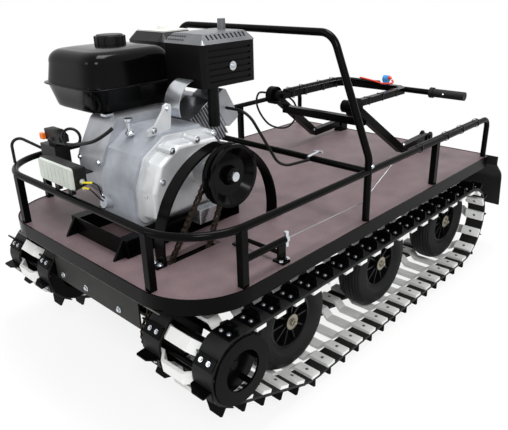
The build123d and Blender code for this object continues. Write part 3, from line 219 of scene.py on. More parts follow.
def material(name):
    """The named finish, made once: its base shader, with a fine grain in its bump and patches in its colour."""
    made = bpy.data.materials.get(name)
    if made:
        return made
    colour, metallic, roughness, specular, grain, depth, mottle = FINISHES[name]
    made = bpy.data.materials.new(name)
    made.use_nodes = True
    tree = made.node_tree
    tree.nodes.clear()
    place = add(tree, "ShaderNodeTexCoord").outputs["Object"]
    noise = add(tree, "ShaderNodeTexNoise", {"Scale": 1 / (grain * MM), "Detail": 3.0}, Vector=place)
    # patches about 70 mm across, darker and lighter than the colour by three times its variation
    patches = add(tree, "ShaderNodeTexNoise", {"Scale": 14.0, "Detail": 4.0}, Vector=place)
    base = linear(colour)
    dark = tuple(c * (1 - 3 * mottle) for c in base[:3]) + (1.0,)
    light = tuple(min(1.0, c * (1 + 3 * mottle)) for c in base[:3]) + (1.0,)
    ramp = add(tree, "ShaderNodeValToRGB", Fac=patches.outputs["Fac"])
    ramp.color_ramp.elements[0].position, ramp.color_ramp.elements[0].color = 0.3, dark
    ramp.color_ramp.elements[1].position, ramp.color_ramp.elements[1].color = 0.7, light
    height, tint = noise.outputs["Fac"], ramp.outputs["Color"]
    if name == "film-faced plywood":
        # the wire-mesh print pressed into the film: two sets of diagonal bands, crossed
        bands = {"Scale": 80.0, "bands_direction": "DIAGONAL"}
        one_way = add(tree, "ShaderNodeTexWave", bands, Vector=place)
        flip = add(tree, "ShaderNodeMapping", {"Scale": (1, -1, 1)}, Vector=place)
        other_way = add(tree, "ShaderNodeTexWave", bands, Vector=flip.outputs["Vector"])
        mesh = add(tree, "ShaderNodeMath", {"operation": "MULTIPLY"})
        tree.links.new(one_way.outputs["Fac"], mesh.inputs[0])
        tree.links.new(other_way.outputs["Fac"], mesh.inputs[1])
        height = mesh.outputs["Value"]
        # painted shade and highlight: the print is darker down in the mesh's pressed grooves and lighter on its
        # ridges, following the bump's height
        shade = add(tree, "ShaderNodeMapRange", {"To Min": 0.82, "To Max": 1.12}, Value=height)
        mesh_shading = add(tree, "ShaderNodeHueSaturation", Color=tint, Value=shade.outputs["Result"])
        tint = mesh_shading.outputs["Color"]
    bump = add(tree, "ShaderNodeBump", {"Strength": depth, "Distance": 0.001}, Height=height)
    shader = add(tree, "ShaderNodeBsdfPrincipled",
                 {"Metallic": metallic, "Roughness": roughness, "Specular IOR Level": specular},
                 Base_Color=tint, Normal=bump.outputs["Normal"])
    out = add(tree, "ShaderNodeOutputMaterial")
    tree.links.new(shader.outputs["BSDF"], out.inputs["Surface"])
    return made


def build(name, verts, faces, finish, body="tug", sharp=32):
    """A mesh object at the origin from vertices in millimetres; edges sharper than the given degrees stay crisp."""
    mesh = bpy.data.meshes.new(name)
    mesh.from_pydata((np.asarray(verts) * MM).tolist(), [], [list(map(int, f)) for f in faces])
    mesh.materials.append(material(finish))
    mesh.shade_smooth()
    mesh.set_sharp_from_angle(angle=math.radians(sharp))
    obj = bpy.data.objects.new(name, mesh)
    bpy.context.scene.collection.objects.link(obj)
    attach(obj, body)
    return obj


def dress(node, finish):
    """Give a carried-over solid its finish."""
    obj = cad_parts[node]
    obj.data.materials.clear()
    obj.data.materials.append(material(finish))
    for slot in obj.material_slots:
        slot.material = material(finish)


def grid(rows, close_rows=False, caps=False):
    """Faces over a (rows, columns, 3) array whose columns close in a ring; caps shut the first and last row."""
    rows = np.asarray(rows, dtype=float)
    n, m = rows.shape[:2]
    i = np.arange(n if close_rows else n - 1)[:, None]
    j = np.arange(m)[None, :]
    a, b = i * m + j, i * m + (j + 1) % m
    c, d = (i + 1) % n * m + (j + 1) % m, (i + 1) % n * m + j
    faces = np.stack([a, b, c, d], axis=-1).reshape(-1, 4).tolist()
    if caps:
        faces += [list(range(m))[::-1], list(range((n - 1) * m, n * m))]
    return rows.reshape(-1, 3), faces


def rings(profile, sides):
    """Circles about Z: x = r cos t, y = r sin t, z = h, for each (r, h) of the profile and each t round the turn."""
    r, h = np.array(profile, dtype=float).T[:, :, None]
    t = np.arange(sides) * TURN / sides
    return np.stack([r * np.cos(t), r * np.sin(t), h + 0 * t], axis=2)


def turned(profile, sides):
    """A closed body turned about Z from (radius, height) pairs, lowest first."""
    return grid(rings(profile, sides), caps=True)


def turned_ring(profile, sides):
    """A ring turned about Z from the closed loop of (radius, height) pairs that runs up its outside."""
    return grid(rings(profile, sides), close_rows=True)


def prism(outline, low, high, inset=0.8):
    """A flat plate with a (x, y) outline, counter-clockwise, from z low to high.

    Its first and last ring are the outline drawn in towards its mean point by inset, so that the rims are eased."""
    outline = np.asarray(outline, dtype=float)
    centre = outline.mean(axis=0)
    shrunk = centre + (outline - centre) * (1 - inset / np.abs(outline - centre).max())
    levels = ((shrunk, low), (outline, low + inset), (outline, high - inset), (shrunk, high))
    return grid([np.column_stack([ring, np.full(len(ring), z)]) for ring, z in levels], caps=True)


def upright(outline, low, high, inset=0.8):
    """A flat plate that stands in the XZ plane with a (x, z) outline, counter-clockwise, from y low to high."""
    verts, faces = prism(outline, low, high, inset)
    return verts[:, [0, 2, 1]], [face[::-1] for face in faces]


def spread(shape, frames):
    """Copies of one shape at many frames, each an origin and three axes, joined as one list of points and faces.

    A point (x, y, z) of the shape goes to origin + x times the first axis + y times the second + z times the third."""
    verts, faces = shape
    origins = np.array([f[0] for f in frames], dtype=float)
    axes = np.array([f[1:] for f in frames], dtype=float)
    moved = origins[:, None, :] + np.einsum("vk,nkd->nvd", np.asarray(verts), axes)
    count = len(verts)
    many = [[v + n * count for v in face] for n in range(len(frames)) for face in faces]
    return moved.reshape(-1, 3), many


def join(*shapes):
    """Several lists of points and faces as one."""
    verts, faces, start = [], [], 0
    for points, loops in shapes:
        verts.append(np.asarray(points))
        faces += [[v + start for v in loop] for loop in loops]
        start += len(points)
    return np.concatenate(verts), faces


def facing(origin, direction, hint=(0, 0, 1)):
    """A frame at origin whose Z axis points along direction."""
    z = np.array(direction, dtype=float) / np.linalg.norm(direction)
    x = np.cross(hint, z)
    if np.linalg.norm(x) < 1e-6:
        x = np.cross((1, 0, 0), z)
    x /= np.linalg.norm(x)
    return (origin, x, np.cross(z, x), z)


def bolt(radius):
    """A hexagon bolt head on its washer, standing on z = 0."""
    return join(turned([(radius * 1.5, 0), (radius * 1.5, radius * 0.25)], 16),
                turned([(radius, radius * 0.25), (radius, radius * 0.9), (radius * 0.85, radius)], 6))


def pipe(points, radius, sides=10, steps=8):
    """A round hose, its two ends closed: circles round a line, whose side axis is carried along without twist.

    Between points b and c, with neighbours a and d, the line is the Catmull-Rom cubic in t from 0 to 1."""
    p = np.array([points[0]] + list(points) + [points[-1]], dtype=float)
    a, b, c, d = (p[i:len(p) - 3 + i, None] for i in range(4))
    t = np.linspace(0, 1, steps, endpoint=False)[:, None]
    bends = 0.5 * (2 * b + (c - a) * t + (2 * a - 5 * b + 4 * c - d) * t ** 2 + (3 * b - a - 3 * c + d) * t ** 3)
    line = np.concatenate([bends.reshape(-1, 3), p[-1:]])
    tangent = np.gradient(line, axis=0)
    tangent /= np.linalg.norm(tangent, axis=1, keepdims=True)
    side, carried = np.cross(tangent[0], (0.3, 0.5, 0.8)), []
    for along in tangent:
        side = side - along * np.dot(side, along)
        side = side / np.linalg.norm(side)
        carried.append(side)
    first = np.array(carried)[:, None]
    second = np.cross(tangent, carried)[:, None]
    turn = (np.arange(sides) * TURN / sides)[:, None]
    return grid(line[:, None] + radius * (np.cos(turn) * first + np.sin(turn) * second), caps=True)


def hull_loop(circles, count, steps=96):
    """count even places on a belt pulled round circles (x, z, radius), with its direction at each, in the XZ plane.

    Between circles a and b it leaves at the angle phi - acos((ra - rb) / gap), where phi is the direction from a to b;
    the first place is where it leaves the first circle."""
    leave = []
    for (xa, za, ra), (xb, zb, rb) in zip(circles, circles[1:] + circles[:1]):
        leave.append(math.atan2(zb - za, xb - xa) - math.acos((ra - rb) / math.hypot(xb - xa, zb - za)))
    arcs = []
    for k, (x, z, r) in enumerate(circles):
        t = leave[k - 1] + np.linspace(0, (leave[k] - leave[k - 1]) % TURN, steps)
        arcs.append(np.column_stack([x + r * np.cos(t), z + r * np.sin(t)]))
    line = np.concatenate(arcs)
    line = np.concatenate([line[steps - 1:], line[:steps]])
    run = np.concatenate([[0], np.cumsum(np.linalg.norm(np.diff(line, axis=0), axis=1))])

    def at(reach):
        return np.stack([np.interp(reach % run[-1], run, line[:, i]) for i in (0, 1)], axis=1)

    reach = np.arange(count) * run[-1] / count
    way = at(reach + 0.5) - at(reach - 0.5)
    return at(reach), way / np.linalg.norm(way, axis=1, keepdims=True)


def belt_rows(places, ways, depth, flat):
    """Points along a belt at depth outside its line: flats of length 2 flat at the places, quadratic bends between."""
    out = np.stack([ways[:, 1], -ways[:, 0]], axis=1)
    start = places + depth * out
    ahead, after = np.roll(ways, -1, axis=0), np.roll(start, -1, axis=0)
    gap = after - start
    turn = ways[:, 0] * ahead[:, 1] - ways[:, 1] * ahead[:, 0]
    bent = np.abs(turn) > 0.001
    reach = np.where(bent, (gap[:, 0] * ahead[:, 1] - gap[:, 1] * ahead[:, 0]) / np.where(bent, turn, 1),
                     np.linalg.norm(gap, axis=1) / 2)
    corner = start + reach[:, None] * ways
    low, high = start + flat * ways, after - flat * ahead
    rows = [start - flat * ways]
    rows += [(1 - t) ** 2 * low + 2 * t * (1 - t) * corner + t * t * high for t in (0, 0.25, 0.5, 0.75)]
    return np.stack(rows, axis=1).reshape(-1, 2)


def track_frames(side, depth, across=0.0, shift=0.0):
    """Frames on every lug's place of one track: x across, y along the belt, z out of it."""
    places, ways = hull_loop(TRACK_CIRCLES, LUGS)
    for (x, z), (dx, dz) in zip(places, ways):
        origin = (x + depth * dz + shift * dx, side * TRACK_Y + across, z - depth * dx + shift * dz)
        yield origin, (0, 1, 0), (dx, 0, dz), (dz, 0, -dx)


def tank_ring(inset, rise, power=6.0, sides=160):
    """A level of the tank: r(t) = (|cos t / a|^n + |sin t / b|^n)^(-1/n), with its half sizes a and b less inset."""
    t = np.arange(sides) * TURN / sides
    across, along = TANK_HALF[0] - inset, TANK_HALF[1] - inset
    r = (np.abs(np.cos(t) / across) ** power + np.abs(np.sin(t) / along) ** power) ** (-1 / power)
    return np.stack([TANK_MID[0] + r * np.cos(t), TANK_MID[1] + r * np.sin(t), np.full(sides, DECK + rise)], axis=1)


def tie(reach, sides):
    """A cable tie round the Z axis, reach out to its corners: 4 sides for a square tube, more for a round one."""
    strap = turned_ring([(reach, -2.2), (reach + 1.4, -2.2), (reach + 1.4, 2.2), (reach, 2.2)], sides)
    lock = prism([(reach - 1, -2.4), (reach + 2.8, -2.4), (reach + 2.8, 2.4), (reach - 1, 2.4)], -2.6, 2.6, 0.5)
    return join(strap, lock)


class TUG_OT_solids(bpy.types.Operator):
    """Give every carried-over solid the finish of its real piece"""
    bl_idname = "tug.solids"
    bl_label = "Dress the solids"

    def execute(self, context):
        for node, finish in NODE_FINISH.items():
            dress(node, finish)
        return {"FINISHED"}


class TUG_OT_tracks(bpy.types.Operator):
    """Lay the rubber belts with their steel lug plates, flanges, bolts and crossbar screws"""
    bl_idname = "tug.tracks"
    bl_label = "Tracks"

    def execute(self, context):
        places, ways = hull_loop(TRACK_CIRCLES, LUGS)
        # a belt's section, 68 wide and 8 thick: (across, depth outside the belt's line)
        section = ((-33.2, 8), (33.2, 8), (34, 7.2), (34, 0.8), (33.2, 0), (-33.2, 0), (-34, 0.8), (-34, 7.2))
        lines = {depth: belt_rows(places, ways, depth, 16) for depth in {d for _, d in section}}
        lug = [(-32, 0), (32, 0), (32, 24.7), (29, 27.7), (-8, 27.7), (-32, 10)]
        flange = prism([(-32, -31), (32, -31), (32, 2), (-32, 2)], 0.1, 3.2, 0.6)
        screw = turned([(5.2, 0), (5.2, 0.7), (3.8, 2.0), (1.6, 2.4)], 12)
        for side, name in ((1, "left"), (-1, "right")):
            belts, lugs, bolts, screws = [], [], [], []
            for across in BELT_Y:
                # the lug's clipped corner lies towards the track's middle
                turn = 1 if across > 0 else -1
                plate = prism([(turn * x, y) for x, y in lug[::turn]], -2.4, 2.4, 0.6)
                middle = side * TRACK_Y + across
                edges = [np.column_stack([lines[d][:, 0], np.full(len(lines[d]), middle + y), lines[d][:, 1]])
                         for y, d in section]
                belts.append(grid(np.stack(edges, axis=1), close_rows=True))
                feet = list(track_frames(side, 8, across))
                lugs.append(spread(plate, [(o, x, n, [-v for v in d]) for o, x, d, n in feet]))
                lugs.append(spread(flange, feet))
                for step in (-13, 13):
                    bolts.append(spread(bolt(4.3), list(track_frames(side, 11.2, across + step, -15))))
                heads = track_frames(side, -10.2, across)
                screws.append(spread(screw, [(o, x, [-v for v in d], [-v for v in n]) for o, x, d, n in heads]))
            belt = build(f"belts_{name}", *join(*belts), "conveyor rubber")
            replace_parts(belt, f"track_belts_{name}")
            build(f"lugs_{name}", *join(*lugs), "black enamel on steel")
            build(f"lug_bolts_{name}", *join(*bolts), "zinc-plated steel")
            build(f"crossbar_screws_{name}", *join(*screws), "dull screw steel")
        return {"FINISHED"}


class TUG_OT_wheels(bpy.types.Operator):
    """Turn the ribbed tyres and set their hub washers and nuts"""
    bl_idname = "tug.wheels"
    bl_label = "Wheels"

    def execute(self, context):
        # crown: r = 155.2 - 20 |w / 44|^3.2 at w across, less 3.5 in grooves that reach 1.4 each side of their middle
        w = np.linspace(-42, 42, 113)
        cut = np.abs(np.abs(w)[:, None] - (0, 11, 22, 31, 37.5)).min(axis=1) < 1.4
        crown = np.column_stack([155.2 - 20 * np.abs(w / 44) ** 3.2 - np.where(cut, 3.5, 0), w]).tolist()
        wall = [(84, 32), (87, 35), (93, 40.5), (99, 45), (104, 46.6), (105, 45.8), (107, 45.8), (108, 46.9),
                (114, 46.8), (115, 45.8), (117, 45.7), (118, 46.3), (123, 45.6), (124, 44.6), (126, 44.4), (127, 45.0),
                (133, 43.4)]
        tyre = turned_ring([(r, -w) for r, w in wall] + crown + wall[::-1], 80)
        washer = turned([(24, 0), (24, 2.0), (22.5, 3)], 28)
        nut = join(turned([(11, 2.8), (11.5, 3.4), (11.5, 9), (10, 10.2)], 6),
                   turned([(6.5, 10), (6.5, 14), (5, 15)], 16))
        for side, name in ((1, "left"), (-1, "right")):
            axles = [facing((x, side * TRACK_Y, AXLE_Z), (0, side, 0)) for x in WHEELS_X]
            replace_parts(build(f"tyres_{name}", *spread(tyre, axles), "tyre rubber"), f"tyres_{name}")
            ends = [facing((x, side * (TRACK_Y + HUB_REACH), AXLE_Z), (0, side, 0)) for x in WHEELS_X]
            build(f"hub_nuts_{name}", *spread(join(washer, nut), ends), "yellow-grey hub steel")
        return {"FINISHED"}


class TUG_OT_chain(bpy.types.Operator):
    """Run the drive chain: rollers and plates over each pitch round both sprockets"""
    bl_idname = "tug.chain"
    bl_label = "Chain"

    def execute(self, context):
        places, _ = hull_loop(CHAIN_CIRCLES, CHAIN_LINKS)
        pitch = float(np.linalg.norm(places[1] - places[0]))
        # a plate: half circles of radius 5.9 round both pins, and a waist of half width 4.2
        end = [(math.cos(t) * 5.9, math.sin(t) * 5.9) for t in np.linspace(-math.pi / 2, math.pi / 2, 7)]
        link = [(x + pitch / 2, y) for x, y in end] + [(0, 4.2)] + [(-x - pitch / 2, -y) for x, y in end] + [(0, -4.2)]
        inner = join(prism(link, 3.6, 5.0, 0.3), prism(link, -5.0, -3.6, 0.3))
        outer = join(prism(link, 5.3, 6.7, 0.3), prism(link, -6.7, -5.3, 0.3))
        roller = turned([(4.6, -3.5), (4.6, 3.5)], 10)
        following = np.roll(places, -1, axis=0)
        middles, spans = (places + following) / 2, following - places
        frames = []
        for (x, z), (dx, dz) in zip(middles, spans / np.linalg.norm(spans, axis=1, keepdims=True)):
            frames.append(((x, CHAIN_Y, z), (dx, 0, dz), (dz, 0, -dx), (0, 1, 0)))
        pins = [((x, CHAIN_Y, z), (1, 0, 0), (0, 0, -1), (0, 1, 0)) for x, z in places]
        links = join(spread(inner, frames[::2]), spread(outer, frames[1::2]), spread(roller, pins))
        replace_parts(build("chain_links", *links, "oiled chain steel"), "drive_chain")
        return {"FINISHED"}


class TUG_OT_tank(bpy.types.Operator):
    """Press the fuel tank: a smooth crowned shell on a tub, with the folded seam between them"""
    bl_idname = "tug.tank"
    bl_label = "Fuel tank"

    def execute(self, context):
        # (inset, rise over the deck) of each level; the crown is a quarter of an ellipse 38 wide and 37 high
        tub = [(34, 325), (25, 325.6), (19.5, 329), (17, 335), (12, 355), (2, 391), (0, 393.4)]
        seam = [(-6.8, 394), (-8, 395), (-8, 397), (-6.8, 398), (1, 398.6)]
        shell = [(2.5, 404), (6, 426), (10, 452)]
        crown = [(10 + 38 * (1 - math.cos(t)), 456 + 37 * math.sin(t)) for t in np.linspace(0, math.pi / 2, 14)]
        levels = tub + seam + shell + crown + [(56, 494.6), (80, 497), (110, 498.5)]
        shape = grid([tank_ring(inset, rise) for inset, rise in levels], caps=True)
        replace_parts(build("tank_shell", *shape, "gloss tank enamel", sharp=50), "fuel_tank")
        return {"FINISHED"}


class TUG_OT_engine(bpy.types.Operator):
    """Add the engine's bolts, bracket, tin sheet, hoses and small fittings"""
    bl_idname = "tug.engine"
    bl_label = "Engine fittings"

    def execute(self, context):
        # (x, rise over the deck, shift of the boss and its bolt to the left)
        bosses = ((492, 270, 50), (580, 258, 50), (619, 181, 50), (644, 142, 20), (636, 78, 20), (404, 264, 20),
                  (376, 120, 20))
        boss = turned([(12.5, 0), (10.5, 1), (10.2, 47), (9.4, 48)], 20)
        built = [facing((x, 52.5 + reach, DECK + rise), (0, 1, 0)) for x, rise, reach in bosses]
        build("cover_bosses", *spread(boss, built), "die-cast aluminium")
        bolts = [facing((x, 100.5 + reach, DECK + rise), (0, 1, 0)) for x, rise, reach in bosses]
        bolts += [facing((664, y, DECK + rise), (1, 0, 0)) for rise in (100, 200) for y in (-180, -84)]
        bolts += [facing((x, y, DECK + 5), (0, 0, 1)) for x in (715, 266) for y in (214, 236)]
        bolts += [facing((529, 79, DECK + 352), (0, 1, 0)), facing((580, 79, DECK + 301), (0, 1, 0))]
        build("engine_bolts", *spread(bolt(6), bolts), "zinc-plated steel")
        # cast arm from the cover's shoulder up to the tank
        arm = [(528, 286), (523, 300), (516, 350), (518, 361), (529, 366), (540, 361), (543, 350), (574, 312),
               (600, 303), (598, 288)]
        build("tank_arm", *upright([(x, DECK + rise) for x, rise in arm], 70, 79, 1.0), "die-cast aluminium")
        foot = [(470, 469), (540, 469), (540, 510), (470, 510)]
        build("tensioner_foot", *upright(foot, 163, 198, 2.0), "zinc-plated steel")
        # bright tin sheet bent round the cylinder's front: an arc of radius 74 about x 412, 340 over the deck
        r, y = np.array([(74, 8), (74, 74), (72.5, 74), (72.5, 8)], dtype=float).T
        t = np.radians(np.linspace(-18, 78, 25))[:, None]
        sheet = np.stack([412 + r * np.cos(t), y + 0 * t, DECK + 340 + r * np.sin(t)], axis=2)
        build("tin_sheet", *grid(sheet, caps=True), "zinc-plated steel")
        post = turned([(13, 0), (13, 6), (8, 10), (8, 34), (12, 38), (12, 46)], 24)
        build("tank_post", *spread(post, [facing((600, -7, DECK + 280), (0, 0, 1))]), "zinc-plated steel")
        # a hose across the engine's front, and a ring of hose
        ring = [(704 - 17 * math.cos(t), -140 + 18 * math.cos(t), 694 + 25 * math.sin(t))
                for t in np.linspace(-1.5, 4.7, 14)]
        hoses = [pipe([(716, -255, 672), (706, -238, 664), (704, -200, 666), (702, -144, 672), (700, -80, 686),
                       (696, -30, 702), (690, 20, 728), (678, 34, 742)], 5),
                 pipe(ring, 4)]
        build("front_hoses", *join(*hoses), "black nylon")
        # relay block and rocker on the switch box, with outlines in (y from the box, rise over the deck)
        across = ((692, -246, DECK), (0, 1, 0), (0, 0, 1), (1, 0, 0))
        block = prism([(-44, 243), (40, 243), (40, 262), (14, 276), (-44, 276)], -16, 16, 2)
        build("relay_block", *spread(block, [across]), "moulded black ABS")
        rocker = prism([(-58, 244), (-40, 244), (-40, 262), (-58, 262)], 14, 26, 1.5)
        build("rocker", *spread(rocker, [across]), "orange plastic")
        # the lamp's two terminals with their leads
        sleeves = [pipe([(790, 44, 626), (790, 70, 632), (790, 94, 637)], 2.6),
                   pipe([(790, 44, 612), (790, 60, 614), (790, 74, 616)], 2.6)]
        build("terminals", *join(*sleeves), "yellow terminal sleeve")
        leads = [pipe([(790, 94, 637), (784, 108, 630), (776, 104, 604), (764, 96, 590)], 2),
                 pipe([(790, 74, 616), (788, 88, 610), (776, 92, 592), (764, 88, 580)], 2)]
        build("lamp_leads", *join(*leads), "black nylon")
        build("lamp_screw", *spread(bolt(5), [facing((789, 41, 628), (0, 1, 0))]), "zinc-plated steel")
        # wing nut of the air cleaner
        wing = join(turned([(7, 0), (7, 5), (5, 10), (3, 14)], 16),
                    prism([(-17, 3), (-5, 1), (-5, 9), (-15, 14)], -1.5, 1.5, 0.5),
                    prism([(5, 1), (17, 3), (15, 14), (5, 9)], -1.5, 1.5, 0.5))
        seat = ((260, -266, DECK + 497), (0, 1, 0), (1, 0, 0), (0, 0, -1))
        build("wing_nut", *spread(wing, [seat]), "zinc-plated steel")
        # holes on the muffler guard's slope of 45 degrees, and its cup with a screw
        holes = [facing((421.6 - step, y, DECK + 507.6 + step), (1, 0, 1))
                 for y in range(-48, 24, 10) for step in (8, 17)]
        build("guard_holes", *spread(turned([(2.6, 0), (2.6, 0.4)], 10), holes), "heat-proof black paint")
        cup = join(turned([(13, 0), (13, 0.8), (10, 0.9)], 24), turned([(5, 1), (5, 4), (3, 5)], 12))
        build("guard_cup", *spread(cup, [facing((306, 108.3, DECK + 440), (0, 1, 0))]), "zinc-plated steel")
        return {"FINISHED"}


class TUG_OT_handle(bpy.types.Operator):
    """Add the handle's switch buttons, red leads, cable bundle, ties, loop and bolts"""
    bl_idname = "tug.handle"
    bl_label = "Handle fittings"

    def execute(self, context):
        q = math.sqrt(0.5)
        far = [((x, -155, DECK + 247), (0, q, q), (0, -q, q), (1, 0, 0)) for x in (-262, -341, -457, -545)]
        near = [((x, 155, DECK + 241), (0, q, q), (0, -q, q), (1, 0, 0)) for x in (-330, -420, -520)]
        build("arm_ties", *join(spread(tie(26, 4), far), spread(tie(18, 4), near)), "black nylon", body="handlebar")
        bundle = pipe([(-226, -158, 682), (-300, -156, 682), (-420, -156, 682), (-560, -154, 681), (-600, -128, 680),
                       (-606, -80, 680), (-606, -10, 679), (-606, 36, 680)], 6)
        build("handle_bundle", *bundle, "black nylon", body="handlebar")
        red = [pipe([(-604, -60, 690), (-602, -36, 688), (-600, 4, 684), (-598, 34, 680), (-592, 60, 678),
                     (-594, 88, 680)], 3.2),
               pipe([(-594, 88, 680), (-604, 98, 684), (-606, 92, 694)], 4)]
        build("red_leads", *join(*red), "red plastic", body="handlebar")
        cap = spread(turned([(9, 0), (9, 5), (7, 7)], 20), [facing((-606, 80, 699), (0, 0.5, 0.8))])
        build("red_button", *cap, "red plastic", body="handlebar")
        screw = spread(bolt(3.2), [facing((-591.8, 322, 664), (1, 0, 0.1))])
        build("grip_screw", *screw, "zinc-plated steel", body="handlebar")
        loop = pipe([(-204, -232, 668), (-166, -236, 672), (-151, -236, 640), (-170, -236, 592), (-220, -236, 538),
                     (-287, -236, 508), (-350, -236, 504), (-398, -236, 540), (-384, -236, 596), (-330, -236, 634),
                     (-236, -232, 664)], 4)
        build("stem_loop", *loop, "black nylon", body="stem")
        spots = [facing((-474, -200.5, 468), (0, 1, 0)), facing((-495, 229.5, 472), (0, 1, 0))]
        build("stem_bolts", *spread(bolt(5), spots), "zinc-plated steel", body="stem")
        return {"FINISHED"}


class TUG_OT_rails(bpy.types.Operator):
    """Tie the rail's cable, and set the throttle cable's end and the screws of the deck, rail and plate"""
    bl_idname = "tug.rails"
    bl_label = "Rail fittings"

    def execute(self, context):
        q = math.sqrt(0.5)
        spots = [((x, 459.5, 574), (0, q, q), (0, -q, q), (1, 0, 0)) for x in (-173, -356, -470, -596)]
        build("rail_ties", *spread(tie(15, 20), spots), "black nylon")
        run = [(-118, 450, 576), (-200, 452, 579), (-330, 452, 579), (-460, 452, 579), (-600, 452, 579),
               (-640, 452, 574)]
        build("rail_cable", *pipe(run, 4.5), "black nylon")
        ends = [pipe([(166, 273, 588), (140, 273, 590), (112, 273, 592)], 4),
                pipe([(112, 258, 590), (112, 273, 592), (112, 288, 594)], 4)]
        build("throttle_end", *join(*ends), "zinc-plated steel")
        hoop_bolt = spread(bolt(4), [facing((126, 476, 590), (0, 1, 0))])
        border = [facing((815.2, -198, 394), (1, 0, 0)), facing((815.2, 157, 397), (1, 0, 0))]
        border_screws = spread(turned([(4, 0), (4, 1), (2.6, 1.7)], 12), border)
        feet = [facing((x, y, 428), (0, 0, 1)) for x, y in ((478, 458), (502, 458), (478, 306), (502, 306))]
        build("rail_screws", *join(hoop_bolt, border_screws, spread(bolt(4.5), feet)), "zinc-plated steel")
        plate = [facing((771, y, z), (1, 0, 0)) for y, z in ((-190, 268), (-60, 272), (105, 268), (128, 352))]
        build("plate_bolts", *spread(bolt(6.5), plate), "zinc-plated steel")
        # the border's lower edge, left rounded by the bending: a thin grey rod whose colour is a painted highlight
        build("border_edge", *pipe([(815.1, y, 379.8) for y in (-355, 0, 355)], 1.8), "worn black enamel")
        return {"FINISHED"}


def area_light(name, place, target, size, power):
    """A square soft lamp at place that faces target."""
    data = bpy.data.lights.new(name, "AREA")
    data.shape, data.size, data.energy = "SQUARE", size, power
    lamp = bpy.data.objects.new(name, data)
    lamp.location = place
    lamp.rotation_euler = (Vector(target) - Vector(place)).to_track_quat("-Z", "Y").to_euler()
    bpy.context.scene.collection.objects.link(lamp)


def seen_directly(tree):
    """1 for the rays that show a background: from the camera, off gloss and through glass."""
    rays = add(tree, "ShaderNodeLightPath")
    seen = rays.outputs["Is Camera Ray"]
    for kind in ("Is Glossy Ray", "Is Transmission Ray"):
        either = add(tree, "ShaderNodeMath", {"operation": "MAXIMUM"})
        tree.links.new(seen, either.inputs[0])
        tree.links.new(rays.outputs[kind], either.inputs[1])
        seen = either.outputs["Value"]
    return seen


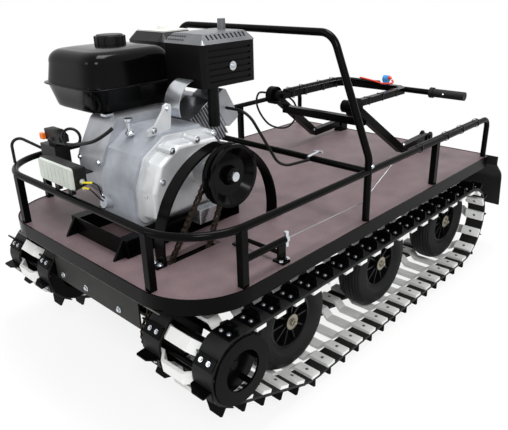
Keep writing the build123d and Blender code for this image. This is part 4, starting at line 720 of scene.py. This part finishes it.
class TUG_OT_stage(bpy.types.Operator):
    """Lay the pale floor, hang the soft lamps and set up the camera"""
    bl_idname = "tug.stage"
    bl_label = "Stage"

    def execute(self, context):
        scene = context.scene
        sizes = scene.tug_sizes
        scene.view_settings.view_transform = "Standard"
        # floor: a wide square of matt paint near white, mixed with a white glow, so that only the shadow shows
        mesh = bpy.data.meshes.new("floor")
        reach = 120.0
        corners = [(-reach, -reach, 0), (reach, -reach, 0), (reach, reach, 0), (-reach, reach, 0)]
        mesh.from_pydata(corners, [], [(0, 1, 2, 3)])
        floor = bpy.data.objects.new("floor", mesh)
        scene.collection.objects.link(floor)
        paint = bpy.data.materials.new("matt floor paint")
        paint.use_nodes = True
        tree = paint.node_tree
        paint_shader, out = tree.nodes["Principled BSDF"], tree.nodes["Material Output"]
        paint_shader.inputs["Base Color"].default_value = linear(sizes.floor_colour)
        paint_shader.inputs["Roughness"].default_value = 0.8
        glow = add(tree, "ShaderNodeEmission", {"Color": (1, 1, 1, 1), "Strength": 1.0})
        # the glow's part grows from 0.84 under the machine to 1 three metres away, so the floor has no visible edge
        place = add(tree, "ShaderNodeTexCoord")
        away = add(tree, "ShaderNodeVectorMath", {"operation": "LENGTH"}, Vector=place.outputs["Object"])
        fade = add(tree, "ShaderNodeMapRange", {"From Min": 0.9, "From Max": 3.0, "To Min": 0.84, "To Max": 1.0},
                   Value=away.outputs["Value"])
        share = add(tree, "ShaderNodeMath", {"operation": "MULTIPLY"})
        tree.links.new(seen_directly(tree), share.inputs[0])
        tree.links.new(fade.outputs["Result"], share.inputs[1])
        mix = add(tree, "ShaderNodeMixShader", Fac=share.outputs["Value"])
        tree.links.new(paint_shader.outputs["BSDF"], mix.inputs[1])
        tree.links.new(glow.outputs["Emission"], mix.inputs[2])
        tree.links.new(mix.outputs["Shader"], out.inputs["Surface"])
        floor.data.materials.append(paint)
        # world: white where it is seen, and about half as strong as a light
        world = scene.world or bpy.data.worlds.new("studio")
        scene.world = world
        world.use_nodes = True
        tree = world.node_tree
        tree.nodes.clear()
        soft = add(tree, "ShaderNodeBackground", {"Color": (1, 1, 1, 1), "Strength": 0.55})
        white = add(tree, "ShaderNodeBackground", {"Color": (1, 1, 1, 1), "Strength": 1.0})
        mix = add(tree, "ShaderNodeMixShader", Fac=seen_directly(tree))
        tree.links.new(soft.outputs["Background"], mix.inputs[1])
        tree.links.new(white.outputs["Background"], mix.inputs[2])
        out = add(tree, "ShaderNodeOutputWorld")
        tree.links.new(mix.outputs["Shader"], out.inputs["Surface"])
        for lamp in LAMPS:
            area_light(*lamp)
        # camera: the one that took the photograph, worked out from the deck's edges
        pitch, yaw, roll = 0.40022948, 3.91110908, -0.02668495
        ahead = Vector((math.cos(yaw) * math.cos(pitch), math.sin(yaw) * math.cos(pitch), -math.sin(pitch)))
        level = Vector((math.sin(yaw), -math.cos(yaw), 0))
        above = level.cross(ahead)
        right = math.cos(roll) * level + math.sin(roll) * above
        up = -math.sin(roll) * level + math.cos(roll) * above
        data = bpy.data.cameras.new("camera")
        data.lens, data.sensor_width, data.clip_start = sizes.lens_mm, 36.0, 0.01
        camera = bpy.data.objects.new("camera", data)
        turn = Matrix((right, up, -ahead)).transposed().to_4x4()
        camera.matrix_world = Matrix.Translation((1.4636, 1.2976, 1.0985)) @ turn
        scene.collection.objects.link(camera)
        scene.camera = camera
        return {"FINISHED"}


class TUG_PT_panel(bpy.types.Panel):
    """Sidebar panel that lists the steps"""
    bl_idname = "TUG_PT_panel"
    bl_label = "Snow Tug"
    bl_space_type = "VIEW_3D"
    bl_region_type = "UI"
    bl_category = "Snow Tug"

    def draw(self, context):
        column = self.layout.column()
        for name in TugSizes.__annotations__:
            column.prop(context.scene.tug_sizes, name)
        for step in STEPS:
            column.operator(step.bl_idname)


STEPS = (TUG_OT_solids, TUG_OT_tracks, TUG_OT_wheels, TUG_OT_chain, TUG_OT_tank, TUG_OT_engine, TUG_OT_handle,
         TUG_OT_rails, TUG_OT_stage)
CLASSES = (TugSizes,) + STEPS + (TUG_PT_panel,)


def register():
    for each in CLASSES:
        bpy.utils.register_class(each)
    bpy.types.Scene.tug_sizes = bpy.props.PointerProperty(type=TugSizes)


def unregister():
    del bpy.types.Scene.tug_sizes
    for each in reversed(CLASSES):
        bpy.utils.unregister_class(each)


def main():
    """Register the add-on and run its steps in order."""
    register()
    for step in STEPS:
        group, name = step.bl_idname.split(".")
        getattr(getattr(bpy.ops, group), name)()


if __name__ == "__main__":
    main()
